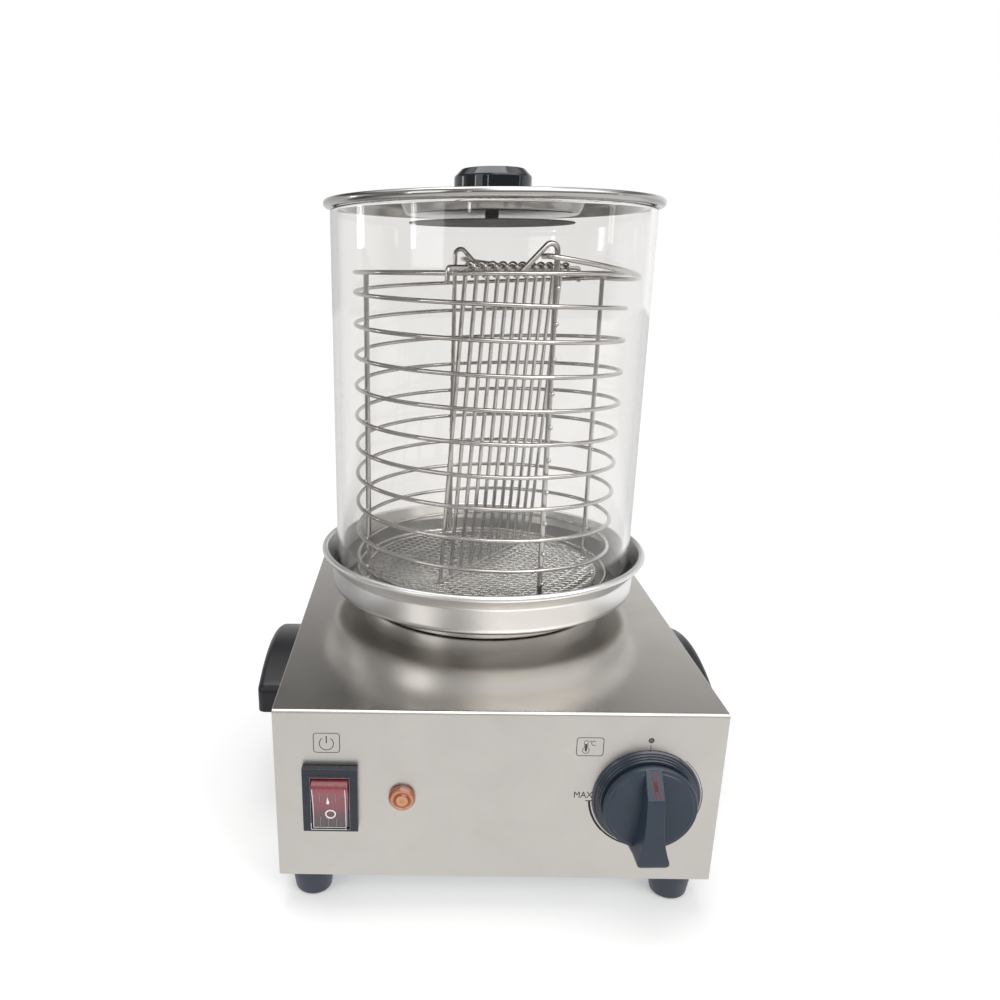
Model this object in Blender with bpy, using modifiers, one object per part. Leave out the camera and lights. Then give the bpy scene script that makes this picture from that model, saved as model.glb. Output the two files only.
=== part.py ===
"""Hot dog steamer for a counter top: steel case, water pan, glass cylinder, lid and wire basket.

Metres, +Z up. The origin is on the counter under the middle of the machine and the front faces -Y.
"""
import math

import bmesh
import bpy
from mathutils import Matrix, Vector

# Shared stock and clearances
SHEET = 0.0010
FIT_GAP = 0.0003
CUT_OVERRUN = 0.0020
MERGE_DISTANCE = 0.00001
WIRE_RESOLUTION = 2
SPIRAL_RESOLUTION = 1
LARGE_STEPS = 36
GLASS_STEPS = 48
KNOB_STEPS = 24
SMALL_STEPS = 12
SCREW_STEPS = 8
SMOOTH_ANGLE = math.radians(35)

# Case
CASE_WIDTH = 0.2400
CASE_DEPTH = 0.3000
CASE_HEIGHT = 0.1030
FOLD_RADIUS = 0.0030
FOLD_STEPS = 3
SIDE_FLANGE = 0.0080
BASE_FLANGE = 0.0100
VENT_LENGTH = 0.0600
VENT_WIDTH = 0.0040
VENT_PITCH = 0.0120
VENT_COUNT = 7

# Feet and their screws
FOOT_HEIGHT = 0.0195
FOOT_TOP_RADIUS = 0.0130
FOOT_BOTTOM_RADIUS = 0.0102
FOOT_ROUND = 0.0020
FOOT_INSET = 0.0170
FOOT_BORE_RADIUS = 0.0050
FOOT_BORE_DEPTH = 0.0120
SCREW_RADIUS = 0.0019
SCREW_HEAD_RADIUS = 0.0038
SCREW_HEAD_HEIGHT = 0.0024
SCREW_HOLE_GAP = 0.0004
SCREW_TIP = 0.0040

# Side handles
HANDLE_LENGTH = 0.1080
HANDLE_REACH = 0.0265
HANDLE_HEIGHT = 0.0282
HANDLE_TOP_DROP = 0.0250
HANDLE_ARCH = 0.0110
HANDLE_ARCH_STEPS = 8
HANDLE_WALL = 0.0030
HANDLE_ROUND = 0.0045
HANDLE_ROUND_STEPS = 3
HANDLE_SCREW_SPACING = 0.0700

# Front controls, placed from the sides of the case and from its bottom edge
CONTROL_HEIGHT = 0.0525
SWITCH_INSET = 0.0301
LAMP_SPACING = 0.0386
DIAL_INSET = 0.0398

SWITCH_WIDTH = 0.0298
SWITCH_HEIGHT = 0.0402
SWITCH_DROP = 0.0004
SWITCH_BEZEL = 0.0045
SWITCH_BODY_WIDTH = 0.0262
SWITCH_BODY_HEIGHT = 0.0336
SWITCH_BODY_DEPTH = 0.0220
SWITCH_CAVITY_DEPTH = 0.0090
ROCKER_DROP = 0.0029
ROCKER_WIDTH = 0.0198
ROCKER_RADIUS = 0.0154
ROCKER_BACK = 0.0030
ROCKER_CREST = 0.0070
ROCKER_VALLEY = 0.0046
ROCKER_GAP = 0.0004
ROCKER_TILT = math.radians(10)
ROCKER_ARC_STEPS = 4

LAMP_RADIUS = 0.0073
LAMP_REACH = 0.0042
LAMP_RIM = 0.0016
LAMP_STEM_RADIUS = 0.0052
LAMP_STEM_DEPTH = 0.0020
LAMP_BODY_RADIUS = 0.0056
LAMP_BODY_DEPTH = 0.0180

DIAL_BEZEL_RADIUS = 0.0296
DIAL_BEZEL_BORE = 0.0200
DIAL_BEZEL_HEIGHT = 0.0028
DIAL_BEZEL_ROUND = 0.0012
KNOB_GAP = 0.0005
KNOB_DISC_RADIUS = 0.0255
KNOB_DISC_HEIGHT = 0.0062
KNOB_DISC_ROUND = 0.0016
KNOB_HUB_RADIUS = 0.0080
KNOB_HUB_DEPTH = 0.0025
KNOB_CREST_REACH = 0.0205
KNOB_TAIL_REACH = 0.0235
KNOB_RAMP_TOP = 0.0215
KNOB_CREST_HEIGHT = 0.0123
KNOB_TAIL_LENGTH = 0.0271
KNOB_CREST_WIDTH = 0.0093
KNOB_TAIL_WIDTH = 0.0172
KNOB_RIDGE_ROUND = 0.0010
KNOB_BORE_REACH = 0.0150
POINTER_WIDTH = 0.0018
POINTER_THICKNESS = 0.0006
POINTER_MARGIN = 0.0020
SHAFT_RADIUS = 0.0030
SHAFT_GAP = 0.0004
SHAFT_SOCKET = 0.0080
THERMOSTAT_WIDTH = 0.0360
THERMOSTAT_DEPTH = 0.0240

# Cord gland in the back panel
GLAND_INSET = 0.0500
GLAND_HEIGHT = 0.0300
GLAND_REACH = 0.0120
GLAND_GRIP_RADIUS = 0.0080
GLAND_TIP_RADIUS = 0.0066
GLAND_TIP = 0.0030
GLAND_FLANGE_RADIUS = 0.0110
GLAND_FLANGE = 0.0030
GLAND_NUT = 0.0060
GLAND_BORE = 0.0036

# Water pan
TOWER_SETBACK = 0.1745
PAN_SHEET = 0.0008
PAN_LEDGE = 0.0229
PAN_WELL_DEPTH = 0.0108
PAN_GLASS_GAP = 0.0032
PAN_WALL_TAPER = 0.0008
PAN_HEIGHT = 0.0372
PAN_FLARE = 0.0085
PAN_RIM_REACH = 0.0051
PAN_BEAD = 0.0022
PAN_CORNER = 0.0050
PAN_STEP_ROUND = 0.0016

# Glass cylinder
GLASS_RADIUS = 0.1000
GLASS_WALL = 0.0040
GLASS_HEIGHT = 0.2408
GLASS_EDGE = 0.0010

# Lid and its knob
LID_SHEET = 0.0008
LID_OVERHANG = 0.0016
LID_BEAD = 0.0025
LID_GROOVE_DEPTH = 0.0012
LID_GROOVE_WIDTH = 0.0028
LID_GROOVE_GAP = 0.0012
LID_CROWN = 0.0050
LID_CROWN_GAP = 0.0080
LID_DISH_DEPTH = 0.0084
LID_DISH_RADIUS = 0.0530
LID_DISH_SLOPE = 0.0045
LID_ROUND = 0.0020
LID_KNOB_RADIUS = 0.0237
LID_KNOB_NECK = 0.0130
LID_KNOB_NECK_HEIGHT = 0.0060
LID_KNOB_HEIGHT = 0.0252
LID_KNOB_BEVEL = 0.0045
LID_KNOB_BORE_DEPTH = 0.0100

# Wire basket
BASKET_GAP = 0.0106
RING_WIRE = 0.0013
UPRIGHT_WIRE = 0.0016
CROSS_WIRE = 0.0014
TOP_RING_DROP = 0.0357
BOTTOM_RING_RISE = 0.0120
SPIRAL_PITCH = 0.0192
SPIRAL_START = math.radians(21)
SPIRAL_POINTS = 24
UPRIGHT_NEAR = math.radians(-68)
UPRIGHT_RIGHT = math.radians(20)
UPRIGHT_FAR = math.radians(104)
UPRIGHT_LEFT = math.radians(-157)
EAR_RISE = 0.0212
EAR_SPAN = 0.0210
EAR_BEND = 0.0040
EAR_STEPS = 6
NET_PITCH = 0.0150
NET_STRAND = 0.0018
NET_THICKNESS = 0.0012
NET_RIM = 0.0022
CROSS_ANGLE = math.radians(-24)

# Bail
BAIL_WIRE = 0.0015
BAIL_HINGE_OFFSET = 0.0062
BAIL_HINGE_RISE = 0.0089
BAIL_SIDE_GAP = 0.0018
BAIL_GLASS_GAP = 0.0008
BAIL_PEG = 0.0070
BAIL_BEND = 0.0030
BAIL_DROOP = math.radians(8.3)
BAIL_ARCH_STEPS = 22

# Divider
DIVIDER_WIRE = 0.0013
DIVIDER_BAR = 0.0014
DIVIDER_NEAR = math.radians(-108.5)
DIVIDER_FAR = math.radians(40.5)
DIVIDER_HOOK_DROP = 0.0060
DIVIDER_HOOK_BEND = 0.0020
DIVIDER_COMB_MARGIN = 0.01879404
DIVIDER_WIRES = 11
DIVIDER_LEAN = 0.0218
DIVIDER_SLIDE = 0.0082

# Heater and wiring pieces inside the case
HEAT_PLATE_RADIUS = 0.0740
HEAT_PLATE = 0.0030
ELEMENT_RADIUS = 0.0520
ELEMENT_WIRE = 0.0035
ELEMENT_OPENING = math.radians(40)
ELEMENT_LEG = 0.0180
ELEMENT_STEPS = 22
CLAMP_WIDTH = 0.0160
CLAMP_LENGTH = 0.1240
CLAMP_THICKNESS = 0.0020
CUTOUT_RADIUS = 0.0080
CUTOUT_HEIGHT = 0.0110
CUTOUT_OFFSET = 0.0260
BULB_RADIUS = 0.0026
BULB_LENGTH = 0.0500
BULB_SETBACK = 0.0640
CAPILLARY_BEND = 0.0100
TERMINAL_LENGTH = 0.0340
TERMINAL_WIDTH = 0.0200
TERMINAL_HEIGHT = 0.0160
TERMINAL_SETBACK = 0.0450
TERMINAL_HOLE = 0.0022
TERMINAL_COUNT = 3

# Levels and axes worked out from the sizes above
CASE_FRONT = (KNOB_TAIL_REACH - CASE_DEPTH - GLAND_REACH) / 2
CASE_BACK = CASE_FRONT + CASE_DEPTH
CASE_MIDDLE = (CASE_FRONT + CASE_BACK) / 2
CASE_BOTTOM = FOOT_HEIGHT + FIT_GAP
CASE_TOP = CASE_BOTTOM + CASE_HEIGHT
SWITCH_X = SWITCH_INSET - CASE_WIDTH / 2
LAMP_X = SWITCH_X + LAMP_SPACING
DIAL_X = CASE_WIDTH / 2 - DIAL_INSET
GLAND_X = GLAND_INSET - CASE_WIDTH / 2
CONTROL_Z = CASE_BOTTOM + CONTROL_HEIGHT
ROCKER_Z = CONTROL_Z - ROCKER_DROP
TOWER_Y = CASE_FRONT + TOWER_SETBACK
PAN_WALL_RADIUS = GLASS_RADIUS + PAN_GLASS_GAP
PAN_RIM_RADIUS = PAN_WALL_RADIUS + PAN_RIM_REACH
PAN_WELL_RADIUS = PAN_WALL_RADIUS - PAN_LEDGE
PAN_SEAT = CASE_TOP + FIT_GAP
SHELF_TOP = PAN_SEAT + PAN_WELL_DEPTH + PAN_SHEET
PAN_CORNER_START = PAN_WALL_RADIUS - PAN_WALL_TAPER - PAN_CORNER
GLASS_OVERLAP = min(max(GLASS_RADIUS / math.cos(math.pi / LARGE_STEPS) - PAN_CORNER_START, 0), PAN_CORNER)
GLASS_RISE = PAN_CORNER - math.sqrt(PAN_CORNER**2 - GLASS_OVERLAP**2)
GLASS_BOTTOM = SHELF_TOP + GLASS_RISE + FIT_GAP
GLASS_TOP = GLASS_BOTTOM + GLASS_HEIGHT
GLASS_BORE = GLASS_RADIUS - GLASS_WALL
LID_SEAT = GLASS_TOP + FIT_GAP
LID_BEAD_RADIUS = GLASS_RADIUS + LID_OVERHANG
LID_CROWN_RADIUS = GLASS_BORE - LID_CROWN_GAP
RING_RADIUS = GLASS_BORE - BASKET_GAP
DIVIDER_COMB_LENGTH = 2 * (RING_RADIUS * math.sin((DIVIDER_FAR - DIVIDER_NEAR) / 2) - DIVIDER_COMB_MARGIN)
BASKET_FOOT = SHELF_TOP + FIT_GAP
TOP_RING_Z = BASKET_FOOT + GLASS_HEIGHT - TOP_RING_DROP
BOTTOM_RING_Z = BASKET_FOOT + BOTTOM_RING_RISE
SPIRAL_SAG = RING_RADIUS * (1 - math.cos(math.pi / SPIRAL_POINTS))
UPRIGHT_RADIUS = RING_RADIUS - SPIRAL_SAG - RING_WIRE - UPRIGHT_WIRE - FIT_GAP
CROSS_Z = BOTTOM_RING_Z - RING_WIRE - CROSS_WIRE - FIT_GAP
NET_Z = CROSS_Z + CROSS_WIRE + FIT_GAP + NET_THICKNESS / 2
NET_RADIUS = UPRIGHT_RADIUS - UPRIGHT_WIRE - FIT_GAP
HEAT_PLATE_TOP = CASE_TOP - SHEET - FIT_GAP
ELEMENT_Z = HEAT_PLATE_TOP - HEAT_PLATE - FIT_GAP - ELEMENT_WIRE

# Finishes: colour, roughness, metallic
SATIN_STEEL = ((0.60, 0.57, 0.54), 0.34, 1.0)
BRIGHT_STEEL = ((0.72, 0.71, 0.69), 0.16, 1.0)
WIRE_STEEL = ((0.55, 0.53, 0.51), 0.20, 1.0)
GALVANISED = ((0.50, 0.51, 0.52), 0.45, 1.0)
ALUMINIUM = ((0.68, 0.68, 0.69), 0.40, 1.0)
CLEAR_GLASS = ((0.93, 0.95, 0.95), 0.03, 0.0)
BLACK_PLASTIC = ((0.030, 0.030, 0.033), 0.45, 0.0)
GLOSSY_BLACK = ((0.020, 0.024, 0.030), 0.15, 0.0)
SLATE_PLASTIC = ((0.060, 0.072, 0.085), 0.40, 0.0)
RUBBER = ((0.055, 0.065, 0.075), 0.70, 0.0)
ROCKER_RED = ((0.45, 0.05, 0.06), 0.35, 0.0)
POINTER_RED = ((0.70, 0.05, 0.04), 0.45, 0.0)
LAMP_AMBER = ((0.80, 0.28, 0.08), 0.20, 0.0)
BRASS = ((0.70, 0.55, 0.28), 0.35, 1.0)
BROWN_RESIN = ((0.16, 0.07, 0.04), 0.50, 0.0)
NATURAL_NYLON = ((0.70, 0.68, 0.60), 0.55, 0.0)


def make_collection(name):
    """Return a new collection linked to the scene."""
    collection = bpy.data.collections.new(name)
    bpy.context.scene.collection.children.link(collection)
    return collection


def clear_scene():
    """Remove every object and the collections that held them."""
    for obj in list(bpy.data.objects):
        bpy.data.objects.remove(obj, do_unlink=True)
    for collection in list(bpy.data.collections):
        bpy.data.collections.remove(collection)


def give_finish(obj, finish):
    """Give an object its own material from a (colour, roughness, metallic) finish."""
    colour, roughness, metallic = finish
    material = bpy.data.materials.new(obj.name)
    material.use_nodes = True
    shader = material.node_tree.nodes["Principled BSDF"]
    shader.inputs["Base Color"].default_value = (*colour, 1.0)
    shader.inputs["Roughness"].default_value = roughness
    shader.inputs["Metallic"].default_value = metallic
    obj.data.materials.clear()
    obj.data.materials.append(material)


def add_object(name, mesh, location=(0, 0, 0), rotation=(0, 0, 0), finish=None):
    """Link a mesh as a part, or as a hidden cutter when it has no finish."""
    obj = bpy.data.objects.new(name, mesh)
    obj.location = location
    obj.rotation_euler = rotation
    if finish is None:
        CUTTERS.objects.link(obj)
        obj.hide_render = True
        obj.display_type = "WIRE"
    else:
        PARTS.objects.link(obj)
        give_finish(obj, finish)
    return obj


def smooth(mesh):
    """Shade a mesh smooth and keep its real corners sharp."""
    mesh.shade_smooth()
    mesh.set_sharp_from_angle(angle=SMOOTH_ANGLE)


def mesh_of(obj):
    """Return the evaluated mesh of an object, with its loose caps welded."""
    depsgraph = bpy.context.evaluated_depsgraph_get()
    mesh = bpy.data.meshes.new_from_object(obj.evaluated_get(depsgraph))
    work = bmesh.new()
    work.from_mesh(mesh)
    bmesh.ops.remove_doubles(work, verts=work.verts, dist=MERGE_DISTANCE)
    work.to_mesh(mesh)
    work.free()
    return mesh


def bake(obj):
    """Turn a curve or a mesh with modifiers into a plain mesh object of the same name."""
    bpy.context.view_layer.update()
    name = obj.name
    matrix = obj.matrix_world.copy()
    collections = list(obj.users_collection)
    materials = [slot.material for slot in obj.material_slots]
    mesh = mesh_of(obj)
    smooth(mesh)
    bpy.data.objects.remove(obj, do_unlink=True)
    baked = bpy.data.objects.new(name, mesh)
    baked.matrix_world = matrix
    for collection in collections:
        collection.objects.link(baked)
    mesh.materials.clear()
    for material in materials:
        mesh.materials.append(material)
    return baked


def rounded_path(corners, radii, steps):
    """Return a path through the corners, with an arc of the given radius at each inner corner."""
    corners = [Vector(corner) for corner in corners]
    points = [corners[0]]
    for before, corner, after, radius in zip(corners, corners[1:], corners[2:], radii):
        back = (before - corner).normalized()
        ahead = (after - corner).normalized()
        opening = back.angle(ahead)
        if radius == 0 or opening > math.pi - math.radians(1):
            points.append(corner)
            continue
        tangent = radius / math.tan(opening / 2)
        centre = corner + (back + ahead).normalized() * radius / math.sin(opening / 2)
        start = corner + back * tangent - centre
        end = corner + ahead * tangent - centre
        turn = math.pi - opening
        for step in range(steps + 1):
            share = step / steps
            blend = start * math.sin((1 - share) * turn) + end * math.sin(share * turn)
            points.append(centre + blend / math.sin(turn))
    points.append(corners[-1])
    return points


def offset_path(points, distance):
    """Shift a flat path sideways to its left, keeping runs parallel."""
    shifted = []
    last = len(points) - 1
    for index, point in enumerate(points):
        back = (point - points[index - 1]).normalized() if index > 0 else None
        ahead = (points[index + 1] - point).normalized() if index < last else None
        back = back or ahead
        ahead = ahead or back
        along = (back + ahead).normalized()
        normal = Vector((-along.y, along.x))
        stretch = 1 / max(along.dot(ahead), math.cos(math.radians(60)))
        shifted.append(point + normal * distance * stretch)
    return shifted


def spin(name, section, finish, steps, closed=False, location=(0, 0, 0), rotation=(0, 0, 0)):
    """Turn a section of (radius, height) points round the local Z axis."""
    mesh = bpy.data.meshes.new(name)
    count = len(section)
    edges = [(index, index + 1) for index in range(count - 1)]
    if closed:
        edges.append((count - 1, 0))
    mesh.from_pydata([(point[0], 0, point[1]) for point in section], edges, [])
    obj = add_object(name, mesh, location, rotation, finish)
    screw = obj.modifiers.new("Turned", "SCREW")
    screw.axis = "Z"
    screw.angle = math.tau
    screw.steps = steps
    screw.render_steps = steps
    screw.use_merge_vertices = True
    screw.merge_threshold = MERGE_DISTANCE
    return bake(obj)


def sheet_section(path, thickness, bead_centre, bead_radius, bead_steps):
    """Close a sheet's middle line, from the axis to its rim, into a section with a rolled bead."""
    inner = offset_path(path, thickness / 2)
    outer = offset_path(path, -thickness / 2)
    centre = Vector(bead_centre)
    start = (inner[-1] - centre).to_tuple()
    end = (outer[-1] - centre).to_tuple()
    first = math.atan2(start[1], start[0])
    final = math.atan2(end[1], end[0])
    while final > first:
        final -= math.tau
    bead = []
    for step in range(bead_steps + 1):
        angle = first + (final - first) * step / bead_steps
        bead.append(centre + Vector((math.cos(angle), math.sin(angle))) * bead_radius)
    return inner[:-1] + bead + outer[-2::-1]


def disc_section(radius, low, high, rounding=0, steps=2):
    """Return the section of a solid disc with a rounded upper edge."""
    corners = [(0, high), (radius, high), (radius, low), (0, low)]
    return rounded_path(corners, (rounding, 0), steps)


def tube(name, points, radius, finish, resolution=WIRE_RESOLUTION, origin=(0, 0, 0)):
    """Run a round wire through the points and return it as a mesh object."""
    origin = Vector(origin)
    curve = bpy.data.curves.new(name, "CURVE")
    curve.dimensions = "3D"
    curve.bevel_depth = radius
    curve.bevel_resolution = resolution
    curve.use_fill_caps = True
    spline = curve.splines.new("POLY")
    spline.points.add(len(points) - 1)
    for slot, point in zip(spline.points, points):
        slot.co = (*(Vector(point) - origin), 1)
    return bake(add_object(name, curve, origin, finish=finish))


def block(name, size, centre, finish=None, rotation=(0, 0, 0)):
    """Make a box of the given size round its centre."""
    mesh = bpy.data.meshes.new(name)
    work = bmesh.new()
    bmesh.ops.create_cube(work, size=1)
    bmesh.ops.scale(work, vec=size, verts=work.verts)
    work.to_mesh(mesh)
    work.free()
    return add_object(name, mesh, centre, rotation, finish)


def rod(name, radius, length, centre, finish=None, rotation=(0, 0, 0), steps=SMALL_STEPS):
    """Make a cylinder round its centre, along its local Z axis."""
    mesh = bpy.data.meshes.new(name)
    work = bmesh.new()
    bmesh.ops.create_cone(work, cap_ends=True, segments=steps, radius1=radius, radius2=radius, depth=length)
    work.to_mesh(mesh)
    work.free()
    smooth(mesh)
    return add_object(name, mesh, centre, rotation, finish)


def combine(target, tool, operation):
    """Cut the tool from the target, or join it to the target, with a Boolean modifier."""
    boolean = target.modifiers.new(tool.name, "BOOLEAN")
    boolean.operation = operation
    boolean.solver = "EXACT"
    boolean.object = tool


def cut(target, tool):
    """Cut the tool's shape out of the target."""
    combine(target, tool, "DIFFERENCE")


def join(target, tool):
    """Join the tool's shape to the target."""
    combine(target, tool, "UNION")


def set_aside(obj):
    """Move a part among the hidden cutters, so that it only serves a join."""
    PARTS.objects.unlink(obj)
    CUTTERS.objects.link(obj)
    obj.hide_render = True
    obj.display_type = "WIRE"
    return obj


def solidify(obj, thickness):
    """Thicken an open surface inwards, away from its normals."""
    shell = obj.modifiers.new("Wall", "SOLIDIFY")
    shell.thickness = thickness
    shell.offset = -1
    shell.use_even_offset = True


def on_ring(radius, angle, height):
    """Return a point at an angle round the tower's axis."""
    return Vector((radius * math.cos(angle), TOWER_Y + radius * math.sin(angle), height))


FRONTWARD = (math.pi / 2, 0, 0)
BACKWARD = (-math.pi / 2, 0, 0)
SIDEWAYS = (0, math.pi / 2, 0)


def front_cutter(name, radius, x):
    """Make a round cutter through the front panel at the controls' height."""
    place = (x, CASE_FRONT, CONTROL_Z)
    return rod(name, radius, SHEET + 2 * CUT_OVERRUN, place, rotation=FRONTWARD, steps=KNOB_STEPS)


def make_wrap():
    """Fold the front, top and back of the case from one sheet and cut its openings."""
    corners = [
        (CASE_FRONT, CASE_BOTTOM),
        (CASE_FRONT, CASE_TOP),
        (CASE_BACK, CASE_TOP),
        (CASE_BACK, CASE_BOTTOM),
    ]
    outline = rounded_path(corners, (FOLD_RADIUS, FOLD_RADIUS), FOLD_STEPS)
    half = CASE_WIDTH / 2
    verts = [(side * half, point[0], point[1]) for point in outline for side in (-1, 1)]
    faces = [(row, row + 1, row + 3, row + 2) for row in range(0, 2 * len(outline) - 2, 2)]
    mesh = bpy.data.meshes.new("housing_wrap")
    mesh.from_pydata(verts, [], faces)
    wrap = add_object("housing_wrap", mesh, finish=SATIN_STEEL)
    solidify(wrap, SHEET)
    smooth(mesh)
    switch_hole = block(
        "switch_cutter",
        (SWITCH_BODY_WIDTH + 2 * FIT_GAP, SHEET + 2 * CUT_OVERRUN, SWITCH_BODY_HEIGHT + 2 * FIT_GAP),
        (SWITCH_X, CASE_FRONT, ROCKER_Z),
    )
    cut(wrap, switch_hole)
    cut(wrap, front_cutter("lamp_cutter", LAMP_STEM_RADIUS + SHAFT_GAP, LAMP_X))
    cut(wrap, front_cutter("dial_cutter", SHAFT_RADIUS + SHEET, DIAL_X))
    gland_hole = rod(
        "gland_cutter",
        GLAND_GRIP_RADIUS + FIT_GAP,
        SHEET + 2 * CUT_OVERRUN,
        (GLAND_X, CASE_BACK, CASE_BOTTOM + GLAND_HEIGHT),
        rotation=FRONTWARD,
        steps=KNOB_STEPS,
    )
    cut(wrap, gland_hole)


def handle_screw_places():
    """Return the (side, y) places of the four handle screws."""
    spread = HANDLE_SCREW_SPACING / 2
    return [(side, CASE_MIDDLE + along) for side in (-1, 1) for along in (-spread, spread)]


HANDLE_TOP = CASE_TOP - HANDLE_TOP_DROP
HANDLE_SCREW_Z = HANDLE_TOP - HANDLE_HEIGHT / 2


def make_side_panel(name, side):
    """Make a side panel as a shallow tray with flanges along its front, top and back edges."""
    inset = SHEET + FIT_GAP
    front, back = CASE_FRONT + inset, CASE_BACK - inset
    top = CASE_TOP - inset
    corners = [(front, CASE_BOTTOM), (front, top), (back, top), (back, CASE_BOTTOM)]
    corner_round = FOLD_RADIUS - SHEET
    outline = rounded_path(corners, (corner_round, corner_round), FOLD_STEPS)
    outer = CASE_WIDTH / 2
    inner = outer - SIDE_FLANGE
    count = len(outline)
    verts = [(side * x, point[0], point[1]) for x in (outer, inner) for point in outline]
    faces = [tuple(range(count - 1, -1, -1))]
    faces += [(step, step + 1, step + 1 + count, step + count) for step in range(count - 1)]
    if side < 0:
        faces = [tuple(reversed(face)) for face in faces]
    mesh = bpy.data.meshes.new(name)
    mesh.from_pydata(verts, [], faces)
    panel = add_object(name, mesh, finish=SATIN_STEEL)
    solidify(panel, SHEET)
    for place, y in handle_screw_places():
        if place == side:
            hole = rod(
                f"{name}_screw_cutter",
                SCREW_RADIUS + SCREW_HOLE_GAP,
                SHEET + 2 * CUT_OVERRUN,
                (side * outer, y, HANDLE_SCREW_Z),
                rotation=SIDEWAYS,
            )
            cut(panel, hole)


def foot_places():
    """Return the (x, y) places of the four feet."""
    x = CASE_WIDTH / 2 - FOOT_INSET
    front, back = CASE_FRONT + FOOT_INSET, CASE_BACK - FOOT_INSET
    return [(-x, front), (x, front), (-x, back), (x, back)]


def make_base_plate():
    """Make the base tray, with its vent slots and the holes for the foot screws."""
    half_width = CASE_WIDTH / 2 - SHEET - FIT_GAP
    inset = 2 * (SHEET + FIT_GAP)
    front, back = CASE_FRONT + inset, CASE_BACK - inset
    rim = CASE_BOTTOM + BASE_FLANGE
    corners = [(-half_width, front), (half_width, front), (half_width, back), (-half_width, back)]
    verts = [(x, y, z) for z in (CASE_BOTTOM, rim) for x, y in corners]
    faces = [(3, 2, 1, 0)]
    faces += [(side, (side + 1) % 4, (side + 1) % 4 + 4, side + 4) for side in range(4)]
    mesh = bpy.data.meshes.new("base_plate")
    mesh.from_pydata(verts, [], faces)
    plate = add_object("base_plate", mesh, finish=GALVANISED)
    solidify(plate, SHEET)
    for index in range(VENT_COUNT):
        y = CASE_MIDDLE + (index - (VENT_COUNT - 1) / 2) * VENT_PITCH
        size = (VENT_LENGTH, VENT_WIDTH, SHEET + 2 * CUT_OVERRUN)
        cut(plate, block(f"vent_cutter_{index + 1}", size, (0, y, CASE_BOTTOM)))
    for index, (x, y) in enumerate(foot_places()):
        hole = rod(
            f"foot_hole_cutter_{index + 1}",
            SCREW_RADIUS + SCREW_HOLE_GAP,
            SHEET + 2 * CUT_OVERRUN,
            (x, y, CASE_BOTTOM),
        )
        cut(plate, hole)


def screw_section(shank_length):
    """Return the section of a pan-head screw, its head below zero and its shank above."""
    return [
        (0, shank_length),
        (SCREW_RADIUS, shank_length),
        (SCREW_RADIUS, 0),
        (SCREW_HEAD_RADIUS, 0),
        (SCREW_HEAD_RADIUS - SCREW_HOLE_GAP, -SCREW_HEAD_HEIGHT),
        (0, -SCREW_HEAD_HEIGHT),
    ]


def make_feet():
    """Make the four tapered feet and the screws that hold them to the base plate."""
    hole = SCREW_RADIUS + SCREW_HOLE_GAP
    outside = rounded_path(
        [
            (hole, FOOT_HEIGHT),
            (FOOT_TOP_RADIUS, FOOT_HEIGHT),
            (FOOT_BOTTOM_RADIUS, 0),
            (FOOT_BORE_RADIUS, 0),
        ],
        (0, FOOT_ROUND),
        2,
    )
    inside = [Vector((FOOT_BORE_RADIUS, FOOT_BORE_DEPTH)), Vector((hole, FOOT_BORE_DEPTH))]
    shank = CASE_BOTTOM + SHEET + SCREW_TIP - FOOT_BORE_DEPTH
    for index, (x, y) in enumerate(foot_places()):
        spin(f"foot_{index + 1}", outside + inside, RUBBER, SMALL_STEPS, closed=True, location=(x, y, 0))
        seat = (x, y, FOOT_BORE_DEPTH - FIT_GAP)
        spin(f"foot_screw_{index + 1}", screw_section(shank), GALVANISED, SCREW_STEPS, location=seat)


def make_handle(name, side):
    """Mould a side handle: a wall open underneath, arched on top, with its outer edges rounded."""
    half = HANDLE_LENGTH / 2
    low, high = -HANDLE_HEIGHT / 2, HANDLE_HEIGHT / 2
    outline = [(-half, low)]
    for step in range(HANDLE_ARCH_STEPS + 1):
        share = 2 * step / HANDLE_ARCH_STEPS - 1
        outline.append((half * share, high - HANDLE_ARCH * share**2))
    outline.append((half, low))
    count = len(outline)
    verts = [(side * x, y, z) for x in (-HANDLE_REACH / 2, HANDLE_REACH / 2) for y, z in outline]
    faces = [tuple(range(count)), tuple(range(2 * count - 1, count - 1, -1))]
    faces += [(step + 1, step, step + count, step + 1 + count) for step in range(count - 1)]
    if side < 0:
        faces = [tuple(reversed(face)) for face in faces]
    mesh = bpy.data.meshes.new(name)
    mesh.from_pydata(verts, [], faces)
    work = bmesh.new()
    work.from_mesh(mesh)
    rounded = [
        edge
        for edge in work.edges
        if len(edge.link_faces) == 2
        and edge.calc_face_angle() > SMOOTH_ANGLE
        and not any(face.normal.x * side < -0.5 for face in edge.link_faces)
    ]
    bmesh.ops.bevel(
        work,
        geom=rounded,
        offset=HANDLE_ROUND,
        segments=HANDLE_ROUND_STEPS,
        profile=0.5,
        affect="EDGES",
    )
    work.to_mesh(mesh)
    work.free()
    smooth(mesh)
    x = side * (CASE_WIDTH / 2 + FIT_GAP + HANDLE_REACH / 2)
    handle = add_object(name, mesh, (x, CASE_MIDDLE, HANDLE_TOP - HANDLE_HEIGHT / 2), finish=BLACK_PLASTIC)
    solidify(handle, HANDLE_WALL)
    for place, y in handle_screw_places():
        if place == side:
            hole = rod(
                f"{name}_screw_cutter",
                SCREW_RADIUS + SCREW_HOLE_GAP,
                2 * (HANDLE_WALL + FIT_GAP) + CUT_OVERRUN,
                (side * CASE_WIDTH / 2, y, HANDLE_SCREW_Z),
                rotation=SIDEWAYS,
            )
            cut(handle, hole)


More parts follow.
